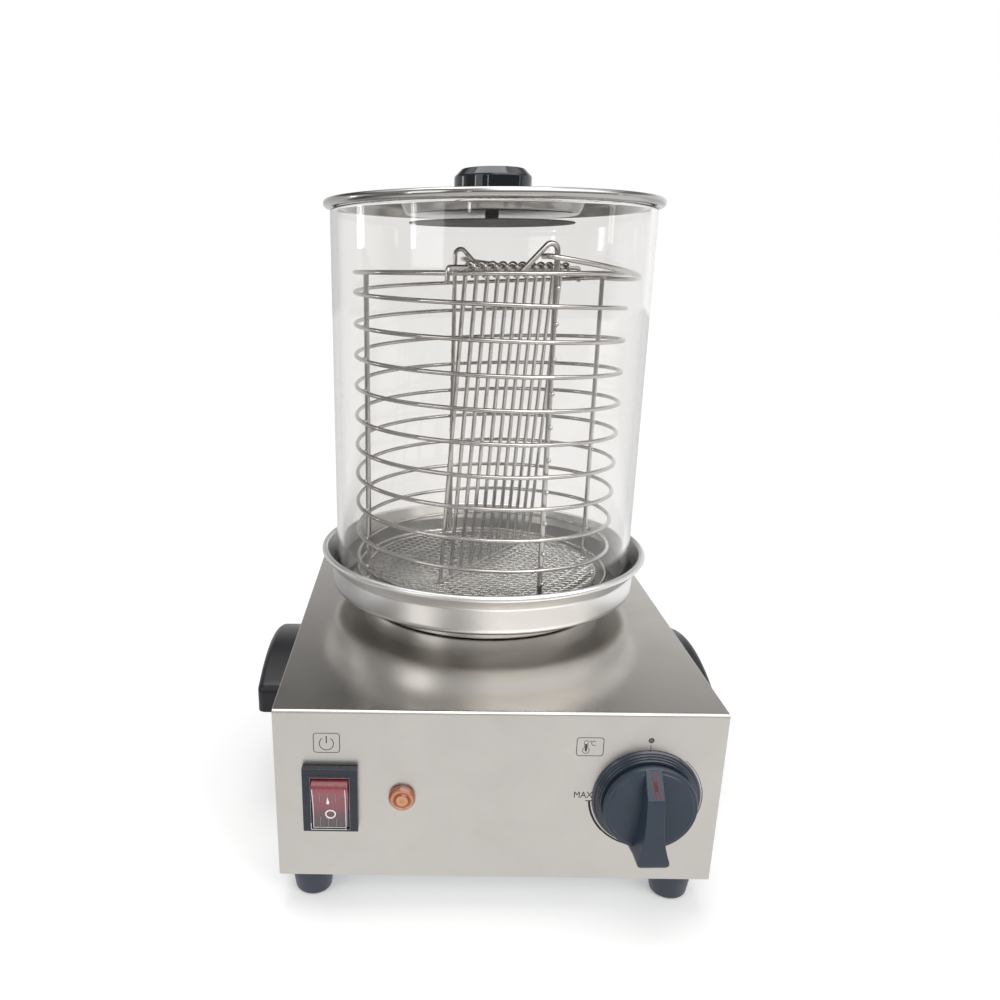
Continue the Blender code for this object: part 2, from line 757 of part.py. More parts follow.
def make_handle_screws():
    """Make the four screws that come from inside the side panels into the handles."""
    shank = SHEET + 2 * FIT_GAP + HANDLE_WALL
    for index, (side, y) in enumerate(handle_screw_places()):
        place = (side * (CASE_WIDTH / 2 - SHEET - FIT_GAP), y, HANDLE_SCREW_Z)
        turn = (0, side * math.pi / 2, 0)
        name = f"handle_screw_{index + 1}"
        spin(name, screw_section(shank), GALVANISED, SCREW_STEPS, location=place, rotation=turn)


def make_switch():
    """Make the switch housing with its bezel and cavity, and the rocker at its off tilt."""
    back = SWITCH_BODY_DEPTH + SHEET
    bezel = block(
        "switch_housing",
        (SWITCH_WIDTH, SWITCH_BEZEL, SWITCH_HEIGHT),
        (SWITCH_X, CASE_FRONT - FIT_GAP - SWITCH_BEZEL / 2, CONTROL_Z - SWITCH_DROP),
        BLACK_PLASTIC,
    )
    front = FIT_GAP + SWITCH_BEZEL / 2
    body = block(
        "switch_body_joiner",
        (SWITCH_BODY_WIDTH, back + front, SWITCH_BODY_HEIGHT),
        (SWITCH_X, CASE_FRONT + (back - front) / 2, ROCKER_Z),
    )
    join(bezel, body)
    opening_height = 2 * (ROCKER_RADIUS + ROCKER_GAP)
    reach = SWITCH_BEZEL + CUT_OVERRUN
    cavity = block(
        "switch_cavity_cutter",
        (ROCKER_WIDTH + 2 * ROCKER_GAP, SWITCH_CAVITY_DEPTH + reach, opening_height),
        (SWITCH_X, CASE_FRONT + (SWITCH_CAVITY_DEPTH - reach) / 2, ROCKER_Z),
    )
    cut(bezel, cavity)
    make_rocker()


def make_rocker():
    """Make the rocker as an extruded side view whose ends are arcs about its pivot."""
    first = math.asin(-ROCKER_BACK / ROCKER_RADIUS)
    final = math.asin(ROCKER_CREST / ROCKER_RADIUS)
    arc = []
    for step in range(ROCKER_ARC_STEPS + 1):
        angle = first + (final - first) * step / ROCKER_ARC_STEPS
        arc.append((ROCKER_RADIUS * math.sin(angle), ROCKER_RADIUS * math.cos(angle)))
    outline = arc + [(ROCKER_VALLEY, 0)] + [(reach, -height) for reach, height in reversed(arc)]
    tilt = Matrix.Rotation(-ROCKER_TILT, 2)
    outline = [tilt @ Vector(point) for point in outline]
    half = ROCKER_WIDTH / 2
    count = len(outline)
    verts = [(x, -point[0], point[1]) for x in (-half, half) for point in outline]
    faces = [tuple(range(count)), tuple(range(2 * count - 1, count - 1, -1))]
    faces += [
        ((step + 1) % count, step, step + count, (step + 1) % count + count) for step in range(count)
    ]
    mesh = bpy.data.meshes.new("switch_rocker")
    mesh.from_pydata(verts, [], faces)
    work = bmesh.new()
    work.from_mesh(mesh)
    bmesh.ops.recalc_face_normals(work, faces=work.faces)
    work.to_mesh(mesh)
    work.free()
    smooth(mesh)
    add_object("switch_rocker", mesh, (SWITCH_X, CASE_FRONT, ROCKER_Z), finish=ROCKER_RED)


def make_lamp():
    """Turn the pilot lamp's lens and the lamp body behind the panel."""
    low, shoulder = FIT_GAP, FIT_GAP + LAMP_RIM
    stem = -LAMP_STEM_DEPTH
    lens = rounded_path(
        [
            (0, LAMP_REACH),
            (LAMP_RADIUS - LAMP_RIM, LAMP_REACH),
            (LAMP_RADIUS, shoulder),
            (LAMP_RADIUS, low),
            (LAMP_STEM_RADIUS, low),
            (LAMP_STEM_RADIUS, stem),
            (0, stem),
        ],
        (LAMP_RIM, 0, 0, 0, 0),
        2,
    )
    place = (LAMP_X, CASE_FRONT, CONTROL_Z)
    spin("lamp_lens", lens, LAMP_AMBER, KNOB_STEPS, location=place, rotation=FRONTWARD)
    top = stem - FIT_GAP
    body = disc_section(LAMP_BODY_RADIUS, top - LAMP_BODY_DEPTH, top)
    spin("lamp_body", body, NATURAL_NYLON, SMALL_STEPS, location=place, rotation=FRONTWARD)


def make_thermostat():
    """Make the thermostat behind the panel and the bezel ring of its dial."""
    front = SHEET + FIT_GAP
    body = block(
        "thermostat_body",
        (THERMOSTAT_WIDTH, THERMOSTAT_DEPTH, THERMOSTAT_WIDTH),
        (DIAL_X, CASE_FRONT + front + THERMOSTAT_DEPTH / 2, CONTROL_Z),
        NATURAL_NYLON,
    )
    socket = rod(
        "shaft_socket_cutter",
        SHAFT_RADIUS + SHAFT_GAP,
        2 * (SHAFT_SOCKET + SHAFT_GAP),
        (DIAL_X, CASE_FRONT + front, CONTROL_Z),
        rotation=FRONTWARD,
        steps=KNOB_STEPS,
    )
    cut(body, socket)
    high = FIT_GAP + DIAL_BEZEL_HEIGHT
    ring = rounded_path(
        [
            (DIAL_BEZEL_BORE, high),
            (DIAL_BEZEL_RADIUS, high),
            (DIAL_BEZEL_RADIUS, FIT_GAP),
            (DIAL_BEZEL_BORE, FIT_GAP),
        ],
        (DIAL_BEZEL_ROUND, 0),
        3,
    )
    place = (DIAL_X, CASE_FRONT, CONTROL_Z)
    spin("dial_bezel", ring, SLATE_PLASTIC, KNOB_STEPS, closed=True, location=place, rotation=FRONTWARD)


def make_dial():
    """Make the turning pieces of the dial: shaft, knob with its grip ridge, and red pointer."""
    place = (DIAL_X, CASE_FRONT, CONTROL_Z)
    socket_end = -(SHEET + FIT_GAP + SHAFT_SOCKET)
    shaft_end = KNOB_BORE_REACH - SHAFT_GAP
    shaft = disc_section(SHAFT_RADIUS, socket_end, shaft_end)
    spin("thermostat_shaft", shaft, BRASS, SMALL_STEPS, location=place, rotation=FRONTWARD)

    back = FIT_GAP + DIAL_BEZEL_HEIGHT + KNOB_GAP
    face = back + KNOB_DISC_HEIGHT
    disc = rounded_path(
        [
            (0, face),
            (KNOB_DISC_RADIUS, face),
            (KNOB_DISC_RADIUS, back),
            (KNOB_HUB_RADIUS, back),
            (KNOB_HUB_RADIUS, back - KNOB_HUB_DEPTH),
            (0, back - KNOB_HUB_DEPTH),
        ],
        (KNOB_DISC_ROUND, 0, 0, 0),
        3,
    )
    knob = spin("thermostat_knob", disc, SLATE_PLASTIC, LARGE_STEPS, location=place, rotation=FRONTWARD)
    join(knob, make_ridge(place, face))
    bore = rod(
        "knob_bore_cutter",
        SHAFT_RADIUS + SHAFT_GAP,
        2 * KNOB_BORE_REACH,
        place,
        rotation=FRONTWARD,
        steps=KNOB_STEPS,
    )
    cut(knob, bore)
    make_pointer(place, face)


def make_ridge(place, face):
    """Make the grip: a wedge with a ramp at its top that widens towards its tail."""
    root = face - KNOB_DISC_HEIGHT / 2
    side = [
        (KNOB_RAMP_TOP, root),
        (KNOB_RAMP_TOP, face),
        (KNOB_CREST_HEIGHT, KNOB_CREST_REACH),
        (-KNOB_TAIL_LENGTH, KNOB_TAIL_REACH),
        (-KNOB_TAIL_LENGTH, root),
    ]
    verts = []
    for sign in (-1, 1):
        for height, reach in side:
            fall = (KNOB_CREST_HEIGHT - height) / (KNOB_CREST_HEIGHT + KNOB_TAIL_LENGTH)
            width = KNOB_CREST_WIDTH + (KNOB_TAIL_WIDTH - KNOB_CREST_WIDTH) * max(fall, 0)
            verts.append((sign * width / 2, height, reach))
    count = len(side)
    faces = [tuple(range(count)), tuple(range(2 * count - 1, count - 1, -1))]
    faces += [
        ((step + 1) % count, step, step + count, (step + 1) % count + count) for step in range(count)
    ]
    mesh = bpy.data.meshes.new("knob_ridge_joiner")
    mesh.from_pydata(verts, [], faces)
    work = bmesh.new()
    work.from_mesh(mesh)
    bmesh.ops.recalc_face_normals(work, faces=work.faces)
    work.to_mesh(mesh)
    work.free()
    ridge = add_object("knob_ridge_joiner", mesh, place, FRONTWARD)
    rounding = ridge.modifiers.new("Rounded", "BEVEL")
    rounding.width = KNOB_RIDGE_ROUND
    rounding.segments = 2
    return ridge


def make_pointer(place, face):
    """Lay the red pointer line along the ramp of the grip."""
    ramp = Vector((KNOB_CREST_HEIGHT - KNOB_RAMP_TOP, KNOB_CREST_REACH - face))
    slope = math.atan2(ramp.y, -ramp.x)
    length = ramp.length - 2 * POINTER_MARGIN
    lift = FIT_GAP + POINTER_THICKNESS / 2
    height = (KNOB_CREST_HEIGHT + KNOB_RAMP_TOP) / 2 + lift * math.sin(slope)
    reach = (KNOB_CREST_REACH + face) / 2 + lift * math.cos(slope)
    pointer = block("knob_pointer", (POINTER_WIDTH, length, POINTER_THICKNESS), (0, 0, 0), POINTER_RED)
    tilt = Matrix.Rotation(-slope, 4, "X")
    pointer.data.transform(Matrix.Translation((0, height, reach)) @ tilt)
    pointer.location = place
    pointer.rotation_euler = FRONTWARD


def make_gland():
    """Turn the cord gland, with the panel held between its flange and its nut."""
    nut = -(SHEET + FIT_GAP)
    section = [
        Vector((GLAND_TIP_RADIUS, GLAND_REACH)),
        Vector((GLAND_GRIP_RADIUS, GLAND_REACH - GLAND_TIP)),
        Vector((GLAND_GRIP_RADIUS, GLAND_FLANGE)),
        Vector((GLAND_FLANGE_RADIUS, GLAND_FLANGE)),
        Vector((GLAND_FLANGE_RADIUS, FIT_GAP)),
        Vector((GLAND_GRIP_RADIUS, FIT_GAP)),
        Vector((GLAND_GRIP_RADIUS, nut)),
        Vector((GLAND_FLANGE_RADIUS, nut)),
        Vector((GLAND_FLANGE_RADIUS, nut - GLAND_NUT)),
        Vector((GLAND_BORE, nut - GLAND_NUT)),
        Vector((GLAND_BORE, GLAND_REACH)),
    ]
    place = (GLAND_X, CASE_BACK, CASE_BOTTOM + GLAND_HEIGHT)
    spin("cord_gland", section, BLACK_PLASTIC, SMALL_STEPS, closed=True, location=place, rotation=BACKWARD)


def make_heater():
    """Make the heat plate under the top, the element ring, its clamp and the cut-out."""
    top = HEAT_PLATE_TOP
    under = top - HEAT_PLATE
    plate = disc_section(HEAT_PLATE_RADIUS, under, top)
    spin("heat_plate", plate, ALUMINIUM, LARGE_STEPS, location=(0, TOWER_Y, 0))

    first = -math.pi / 2 + ELEMENT_OPENING / 2
    sweep = math.tau - ELEMENT_OPENING
    angles = [first + sweep * step / ELEMENT_STEPS for step in range(ELEMENT_STEPS + 1)]
    loop = [on_ring(ELEMENT_RADIUS, angle, ELEMENT_Z) for angle in angles]
    legs = [Vector((point.x, point.y, ELEMENT_Z - ELEMENT_LEG)) for point in (loop[0], loop[-1])]
    corners = [legs[0], *loop, legs[1]]
    radii = [ELEMENT_WIRE * 2] + [0] * (len(loop) - 2) + [ELEMENT_WIRE * 2]
    route = rounded_path(corners, radii, 3)
    tube("heating_element", route, ELEMENT_WIRE, GALVANISED, SPIRAL_RESOLUTION)

    clamp_top = ELEMENT_Z - ELEMENT_WIRE - FIT_GAP
    clamp_size = (CLAMP_LENGTH, CLAMP_WIDTH, CLAMP_THICKNESS)
    clamp = block("element_clamp", clamp_size, (0, TOWER_Y, clamp_top - CLAMP_THICKNESS / 2), GALVANISED)
    hole = SCREW_RADIUS + SCREW_HOLE_GAP
    cut(clamp, rod("clamp_cutter", hole, 2 * CLAMP_THICKNESS + CUT_OVERRUN, (0, TOWER_Y, clamp_top)))
    seat = clamp_top - CLAMP_THICKNESS - FIT_GAP
    shank = under - FIT_GAP - seat
    spin("clamp_screw", screw_section(shank), GALVANISED, SCREW_STEPS, location=(0, TOWER_Y, seat))

    cutout = disc_section(CUTOUT_RADIUS, under - FIT_GAP - CUTOUT_HEIGHT, under - FIT_GAP)
    spin("thermal_cutout", cutout, BROWN_RESIN, SMALL_STEPS, location=(0, TOWER_Y + CUTOUT_OFFSET, 0))


def make_sensor():
    """Run the thermostat's sensor bulb under the heat plate and its capillary to the body."""
    bulb_z = HEAT_PLATE_TOP - HEAT_PLATE - FIT_GAP - BULB_RADIUS
    bulb_y = TOWER_Y - BULB_SETBACK
    half = BULB_LENGTH / 2
    bulb = tube(
        "sensor_capillary",
        [(-half, bulb_y, bulb_z), (half, bulb_y, bulb_z)],
        BULB_RADIUS,
        BRASS,
        SPIRAL_RESOLUTION,
    )
    body_back = CASE_FRONT + SHEET + FIT_GAP + THERMOSTAT_DEPTH + FIT_GAP
    corners = [
        (half - BULB_RADIUS, bulb_y, bulb_z),
        (DIAL_X, bulb_y, bulb_z),
        (DIAL_X, bulb_y, CONTROL_Z),
        (DIAL_X, body_back, CONTROL_Z),
    ]
    route = rounded_path(corners, (CAPILLARY_BEND, CAPILLARY_BEND), 4)
    capillary = tube("capillary_joiner", route, BULB_RADIUS / 2, BRASS, SPIRAL_RESOLUTION)
    join(bulb, set_aside(capillary))


def make_terminal_block():
    """Make the terminal block on the base plate, with a screw well for each core."""
    z = CASE_BOTTOM + SHEET + FIT_GAP + TERMINAL_HEIGHT / 2
    y = CASE_BACK - TERMINAL_SETBACK
    size = (TERMINAL_LENGTH, TERMINAL_WIDTH, TERMINAL_HEIGHT)
    terminal = block("terminal_block", size, (GLAND_X, y, z), NATURAL_NYLON)
    for index in range(TERMINAL_COUNT):
        x = GLAND_X + (index - (TERMINAL_COUNT - 1) / 2) * TERMINAL_LENGTH / TERMINAL_COUNT
        place = (x, y, z + TERMINAL_HEIGHT / 2)
        cut(terminal, rod(f"terminal_cutter_{index + 1}", TERMINAL_HOLE, TERMINAL_HEIGHT, place))


def make_pan():
    """Turn the stepped water pan with its flared, rolled rim."""
    middle = PAN_SHEET / 2
    floor = PAN_SEAT + middle
    shelf = floor + PAN_WELL_DEPTH
    rim = PAN_SEAT + PAN_HEIGHT
    foot = PAN_WALL_RADIUS - PAN_WALL_TAPER
    path = rounded_path(
        [
            (0, floor),
            (PAN_WELL_RADIUS, floor),
            (PAN_WELL_RADIUS + PAN_STEP_ROUND / 2, shelf),
            (foot, shelf),
            (PAN_WALL_RADIUS, rim - PAN_FLARE),
            (PAN_RIM_RADIUS, rim),
        ],
        (PAN_STEP_ROUND, PAN_STEP_ROUND, PAN_CORNER, PAN_FLARE / 2),
        2,
    )
    section = sheet_section(path, PAN_SHEET, (PAN_RIM_RADIUS, rim), PAN_BEAD, 6)
    spin("water_pan", section, SATIN_STEEL, LARGE_STEPS, location=(0, TOWER_Y, 0))


def make_glass():
    """Turn the glass cylinder with its eased rims."""
    edge = GLASS_EDGE
    section = [
        (GLASS_BORE + edge, GLASS_TOP),
        (GLASS_RADIUS - edge, GLASS_TOP),
        (GLASS_RADIUS, GLASS_TOP - edge),
        (GLASS_RADIUS, GLASS_BOTTOM + edge),
        (GLASS_RADIUS - edge, GLASS_BOTTOM),
        (GLASS_BORE + edge, GLASS_BOTTOM),
        (GLASS_BORE, GLASS_BOTTOM + edge),
        (GLASS_BORE, GLASS_TOP - edge),
    ]
    spin("glass_cylinder", section, CLEAR_GLASS, GLASS_STEPS, closed=True, location=(0, TOWER_Y, 0))


LID_FLANGE_Z = LID_SEAT + LID_SHEET / 2
LID_CROWN_Z = LID_FLANGE_Z + LID_CROWN
LID_DISH_Z = LID_CROWN_Z - LID_DISH_DEPTH
LID_DISH_TOP = LID_DISH_Z + LID_SHEET / 2


def make_lid():
    """Turn the pressed lid, its knob and the knob's screw."""
    groove_outer = GLASS_BORE - LID_GROOVE_GAP - LID_SHEET / 2
    groove_inner = groove_outer - LID_GROOVE_WIDTH
    groove_z = LID_FLANGE_Z - LID_GROOVE_DEPTH
    bead_z = LID_FLANGE_Z + LID_BEAD - LID_SHEET / 2
    path = rounded_path(
        [
            (0, LID_DISH_Z),
            (LID_DISH_RADIUS, LID_DISH_Z),
            (LID_DISH_RADIUS + LID_DISH_SLOPE, LID_CROWN_Z),
            (LID_CROWN_RADIUS, LID_CROWN_Z),
            (groove_inner, groove_z),
            (groove_outer, groove_z),
            (GLASS_BORE, LID_FLANGE_Z),
            (LID_BEAD_RADIUS - LID_BEAD, LID_FLANGE_Z),
        ],
        (LID_ROUND, LID_ROUND, LID_ROUND, 0, 0, 0),
        2,
    )
    section = sheet_section(path, LID_SHEET, (LID_BEAD_RADIUS, bead_z), LID_BEAD, 8)
    axis = (0, TOWER_Y, 0)
    lid = spin("lid", section, BRIGHT_STEEL, LARGE_STEPS, location=axis)
    hole = SCREW_RADIUS + SCREW_HOLE_GAP
    cut(lid, rod("lid_cutter", hole, 2 * LID_SHEET + CUT_OVERRUN, (0, TOWER_Y, LID_DISH_Z)))

    low = LID_DISH_TOP + FIT_GAP
    neck = low + LID_KNOB_NECK_HEIGHT
    top = low + LID_KNOB_HEIGHT
    bore = low + LID_KNOB_BORE_DEPTH
    knob = rounded_path(
        [
            (0, top),
            (LID_KNOB_RADIUS - LID_KNOB_BEVEL, top),
            (LID_KNOB_RADIUS, top - LID_KNOB_BEVEL),
            (LID_KNOB_RADIUS, neck + LID_KNOB_NECK_HEIGHT / 2),
            (LID_KNOB_NECK, neck),
            (LID_KNOB_NECK, low),
            (hole, low),
            (hole, bore),
            (0, bore),
        ],
        (LID_KNOB_BEVEL, LID_KNOB_BEVEL / 2, 0, 0, 0, 0, 0),
        2,
    )
    spin("lid_knob", knob, GLOSSY_BLACK, KNOB_STEPS, location=axis)
    seat = LID_DISH_Z - LID_SHEET / 2 - FIT_GAP
    shank = bore - SCREW_HOLE_GAP - seat
    spin("lid_knob_screw", screw_section(shank), BRIGHT_STEEL, SCREW_STEPS, location=(0, TOWER_Y, seat))


def make_ring(name, height):
    """Make a closed wire ring of the basket."""
    bpy.ops.mesh.primitive_torus_add(
        major_radius=RING_RADIUS,
        minor_radius=RING_WIRE,
        major_segments=LARGE_STEPS,
        minor_segments=6,
    )
    made = bpy.context.object
    mesh = made.data
    bpy.data.objects.remove(made, do_unlink=True)
    smooth(mesh)
    add_object(name, mesh, (0, TOWER_Y, height), finish=WIRE_STEEL)


def make_spiral():
    """Wind the long spiral wire clockwise and down from the top ring to the bottom ring."""
    clear = 2 * RING_WIRE + FIT_GAP
    start = TOP_RING_Z - clear
    drop = start - (BOTTOM_RING_Z + clear)
    count = math.ceil(drop / SPIRAL_PITCH * SPIRAL_POINTS)
    points = []
    for step in range(count + 1):
        share = step / count
        angle = SPIRAL_START - math.tau * drop / SPIRAL_PITCH * share
        points.append(on_ring(RING_RADIUS, angle, start - drop * share))
    near = min(
        (points[later] - points[index]).length
        for index in range(count + 1)
        for later in range(index + SPIRAL_POINTS // 2, count + 1)
    )
    print(f"spiral wire: least gap to itself {(near - 2 * RING_WIRE) * 1000:.2f} mm")
    tube("basket_spiral", points, RING_WIRE, WIRE_STEEL, SPIRAL_RESOLUTION)


def make_straight_upright(name, angle):
    """Make a plain upright from the pan's shelf to the top ring."""
    ends = [on_ring(UPRIGHT_RADIUS, angle, height) for height in (BASKET_FOOT, TOP_RING_Z + RING_WIRE)]
    tube(name, ends, UPRIGHT_WIRE, WIRE_STEEL)


def make_eared_upright(name, angle):
    """Make an upright whose top is bent over and down to the ring as an ear."""
    unrolled = rounded_path(
        [
            (0, BASKET_FOOT),
            (0, TOP_RING_Z + EAR_RISE),
            (-EAR_SPAN, TOP_RING_Z),
        ],
        (EAR_BEND,),
        EAR_STEPS,
    )
    points = [on_ring(UPRIGHT_RADIUS, angle + along / UPRIGHT_RADIUS, height) for along, height in unrolled]
    tube(name, points, UPRIGHT_WIRE, WIRE_STEEL)


def make_floor():
    """Make the crossed support wires under the bottom ring and the net that lies on them."""
    arms = []
    for index in range(2):
        angle = CROSS_ANGLE + index * math.pi / 2
        ends = [on_ring(RING_RADIUS, angle + turn, CROSS_Z) for turn in (0, math.pi)]
        arms.append(tube(("basket_floor_cross", "cross_joiner")[index], ends, CROSS_WIRE, WIRE_STEEL))
    join(arms[0], set_aside(arms[1]))

    curve = bpy.data.curves.new("basket_net", "CURVE")
    curve.dimensions = "2D"
    curve.fill_mode = "BOTH"
    curve.extrude = NET_THICKNESS / 2
    turns = [math.tau * step / GLASS_STEPS for step in range(GLASS_STEPS)]
    add_outline(curve, [(NET_RADIUS * math.cos(turn), NET_RADIUS * math.sin(turn)) for turn in turns])
    half = (NET_PITCH - NET_STRAND) / 2
    reach = int(NET_RADIUS // NET_PITCH)
    for column in range(-reach, reach + 1):
        for row in range(-reach, reach + 1):
            x, y = column * NET_PITCH, row * NET_PITCH
            corner = math.hypot(abs(x) + half, abs(y) + half)
            if corner < NET_RADIUS - NET_RIM:
                left, right, front, back = x - half, x + half, y - half, y + half
                add_outline(curve, [(left, front), (left, back), (right, back), (right, front)])
    bake(add_object("basket_net", curve, (0, TOWER_Y, NET_Z), (0, 0, CROSS_ANGLE), WIRE_STEEL))


def add_outline(curve, points):
    """Add a closed flat outline to a 2D curve."""
    spline = curve.splines.new("POLY")
    spline.points.add(len(points) - 1)
    for slot, point in zip(spline.points, points):
        slot.co = (point[0], point[1], 0, 1)
    spline.use_cyclic_u = True


def hinge_point(upright):
    """Return where the bail's peg passes through the ear of an upright."""
    angle = upright - BAIL_HINGE_OFFSET / UPRIGHT_RADIUS
    return on_ring(UPRIGHT_RADIUS, angle, TOP_RING_Z + BAIL_HINGE_RISE)


def make_bail():
    """Bend the bail: pegs through both ears and an arch, folded down to the right."""
    near, far = hinge_point(UPRIGHT_NEAR), hinge_point(UPRIGHT_FAR)
    middle = (near + far) / 2
    along = (far - near).normalized()
    outward = Vector((along.y, -along.x, 0))
    half_axis = (far - near).length / 2
    half_span = half_axis + UPRIGHT_WIRE + BAIL_WIRE + BAIL_SIDE_GAP
    off_centre = (middle - Vector((0, TOWER_Y, middle.z))).dot(outward)
    reach = GLASS_BORE - BAIL_WIRE - BAIL_GLASS_GAP - off_centre
    peg_end = half_axis - BAIL_PEG + UPRIGHT_WIRE
    flat = [(-peg_end, 0), (-half_span, 0)]
    for step in range(1, BAIL_ARCH_STEPS):
        angle = math.pi * step / BAIL_ARCH_STEPS
        flat.append((-half_span * math.cos(angle), reach * math.sin(angle)))
    flat += [(half_span, 0), (peg_end, 0)]
    radii = [BAIL_BEND] + [0] * (BAIL_ARCH_STEPS - 1) + [BAIL_BEND]
    droop = outward * math.cos(BAIL_DROOP) - Vector((0, 0, math.sin(BAIL_DROOP)))
    points = [middle + along * u + droop * v for u, v in rounded_path(flat, radii, 3)]
    tube("bail", points, BAIL_WIRE, WIRE_STEEL, origin=middle)


def divider_frame():
    """Return the divider's top bar ends on the ring, its direction and its lean to the floor."""
    height = TOP_RING_Z + RING_WIRE + FIT_GAP + DIVIDER_BAR
    near = on_ring(RING_RADIUS, DIVIDER_NEAR, height)
    far = on_ring(RING_RADIUS, DIVIDER_FAR, height)
    along = (far - near).normalized()
    sideways = Vector((-along.y, along.x, 0))
    floor = NET_Z + NET_THICKNESS / 2 + FIT_GAP + DIVIDER_BAR
    shift = sideways * DIVIDER_LEAN + along * DIVIDER_SLIDE + Vector((0, 0, floor - height))
    return near, far, along, shift


def make_divider():
    """Weld the divider: a top bar hooked over the ring, comb wires and a bottom bar."""
    near, far, along, shift = divider_frame()
    clear = RING_WIRE + DIVIDER_BAR + FIT_GAP
    down = Vector((0, 0, -(DIVIDER_HOOK_DROP + clear)))
    outward = Vector((math.cos(DIVIDER_FAR), math.sin(DIVIDER_FAR), 0))
    overhang = clear / along.dot(outward)
    near_out, far_out = near - along * overhang, far + along * overhang
    corners = [near_out + down, near_out, far_out, far_out + down]
    route = rounded_path(corners, (DIVIDER_HOOK_BEND, DIVIDER_HOOK_BEND), 3)
    bar = tube("divider", route, DIVIDER_BAR, WIRE_STEEL, SPIRAL_RESOLUTION, origin=near)
    start = (near + far) / 2 - along * DIVIDER_COMB_LENGTH / 2
    foot = [start + shift, start + shift + along * DIVIDER_COMB_LENGTH]
    pieces = [tube("divider_bottom_joiner", foot, DIVIDER_BAR, WIRE_STEEL, SPIRAL_RESOLUTION)]
    pitch = (DIVIDER_COMB_LENGTH - 2 * DIVIDER_BAR) / (DIVIDER_WIRES - 1)
    for index in range(DIVIDER_WIRES):
        top = start + along * (DIVIDER_BAR + index * pitch)
        name = f"divider_wire_joiner_{index + 1}"
        pieces.append(tube(name, [top, top + shift], DIVIDER_WIRE, WIRE_STEEL, SPIRAL_RESOLUTION))
    for piece in pieces:
        join(bar, set_aside(piece))


def make_basket():
    """Make every piece of the lift-out wire basket."""
    make_ring("basket_top_ring", TOP_RING_Z)
    make_spiral()
    make_ring("basket_bottom_ring", BOTTOM_RING_Z)
    make_eared_upright("basket_upright_near", UPRIGHT_NEAR)
    make_straight_upright("basket_upright_right", UPRIGHT_RIGHT)
    make_eared_upright("basket_upright_far", UPRIGHT_FAR)
    make_straight_upright("basket_upright_left", UPRIGHT_LEFT)
    make_floor()
    make_bail()
    make_divider()


clear_scene()
PARTS = make_collection("hot_dog_steamer")
CUTTERS = make_collection("cutters")
make_wrap()
make_side_panel("left_side_panel", -1)
make_side_panel("right_side_panel", 1)
make_base_plate()
make_feet()
make_handle("left_handle", -1)
make_handle("right_handle", 1)
make_handle_screws()
make_switch()
make_lamp()
make_thermostat()
make_dial()
make_gland()
make_heater()
make_sensor()
make_terminal_block()
make_pan()
make_glass()
make_lid()
make_basket()
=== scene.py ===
"""Hot dog steamer, dressed for its picture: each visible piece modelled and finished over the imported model.

Metres, +Z up. The front panel faces -Y and the counter is at Z = 0.
"""
import logging
import math
from collections.abc import Callable, Sequence
from dataclasses import dataclass
from enum import Enum
from functools import cache

import bmesh
import bpy
from mathutils import Matrix, Vector


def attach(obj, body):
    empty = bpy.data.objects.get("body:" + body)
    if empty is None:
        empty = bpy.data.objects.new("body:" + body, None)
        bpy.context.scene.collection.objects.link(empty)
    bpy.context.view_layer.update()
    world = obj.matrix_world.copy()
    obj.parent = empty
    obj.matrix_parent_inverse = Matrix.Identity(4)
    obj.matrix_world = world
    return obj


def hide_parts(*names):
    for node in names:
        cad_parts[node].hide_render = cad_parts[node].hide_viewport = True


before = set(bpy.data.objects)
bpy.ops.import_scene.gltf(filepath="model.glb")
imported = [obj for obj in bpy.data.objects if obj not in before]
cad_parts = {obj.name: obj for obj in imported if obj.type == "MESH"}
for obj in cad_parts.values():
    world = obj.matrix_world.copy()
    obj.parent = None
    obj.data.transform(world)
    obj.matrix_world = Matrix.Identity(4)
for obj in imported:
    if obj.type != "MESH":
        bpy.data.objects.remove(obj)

LOG = logging.getLogger("hot_dog_steamer")
# Points closer than MERGE are welded, fitted pieces stand FIT apart, spun sheet is WALL thick.
MERGE = 0.000002
FIT = 0.0003
WALL = 0.0008
GLASS_RADII = (0.0960, 0.1000)
Point = tuple[float, float, float]
Flat = tuple[float, float]
Thing = bpy.types.Object
Tree = bpy.types.NodeTree
Node = bpy.types.Node
Socket = bpy.types.NodeSocket


class Body(str, Enum):
    """The rigid bodies of the machine."""

    BASE = "base"
    ROCKER = "rocker"
    DIAL = "dial"
    PAN = "pan"
    GLASS = "glass"
    BASKET = "basket"
    BAIL = "bail"
    DIVIDER = "divider"
    LID = "lid"


class Facing(Enum):
    """The way in which the axis of a turned piece points."""

    UP = (0.0, 0.0, 0.0)
    FRONT = (math.pi / 2, 0.0, 0.0)
    BACK = (-math.pi / 2, 0.0, 0.0)


class Grain(Enum):
    """How the polishing lines run on a steel surface, as a stretch of the noise that draws them."""

    ALONG_X = (40.0, 2600.0, 2600.0)
    ALONG_Y = (2600.0, 40.0, 2600.0)
    SPUN = (1.0, 1.0, 1.0)
    DRAWN = (900.0, 900.0, 90.0)


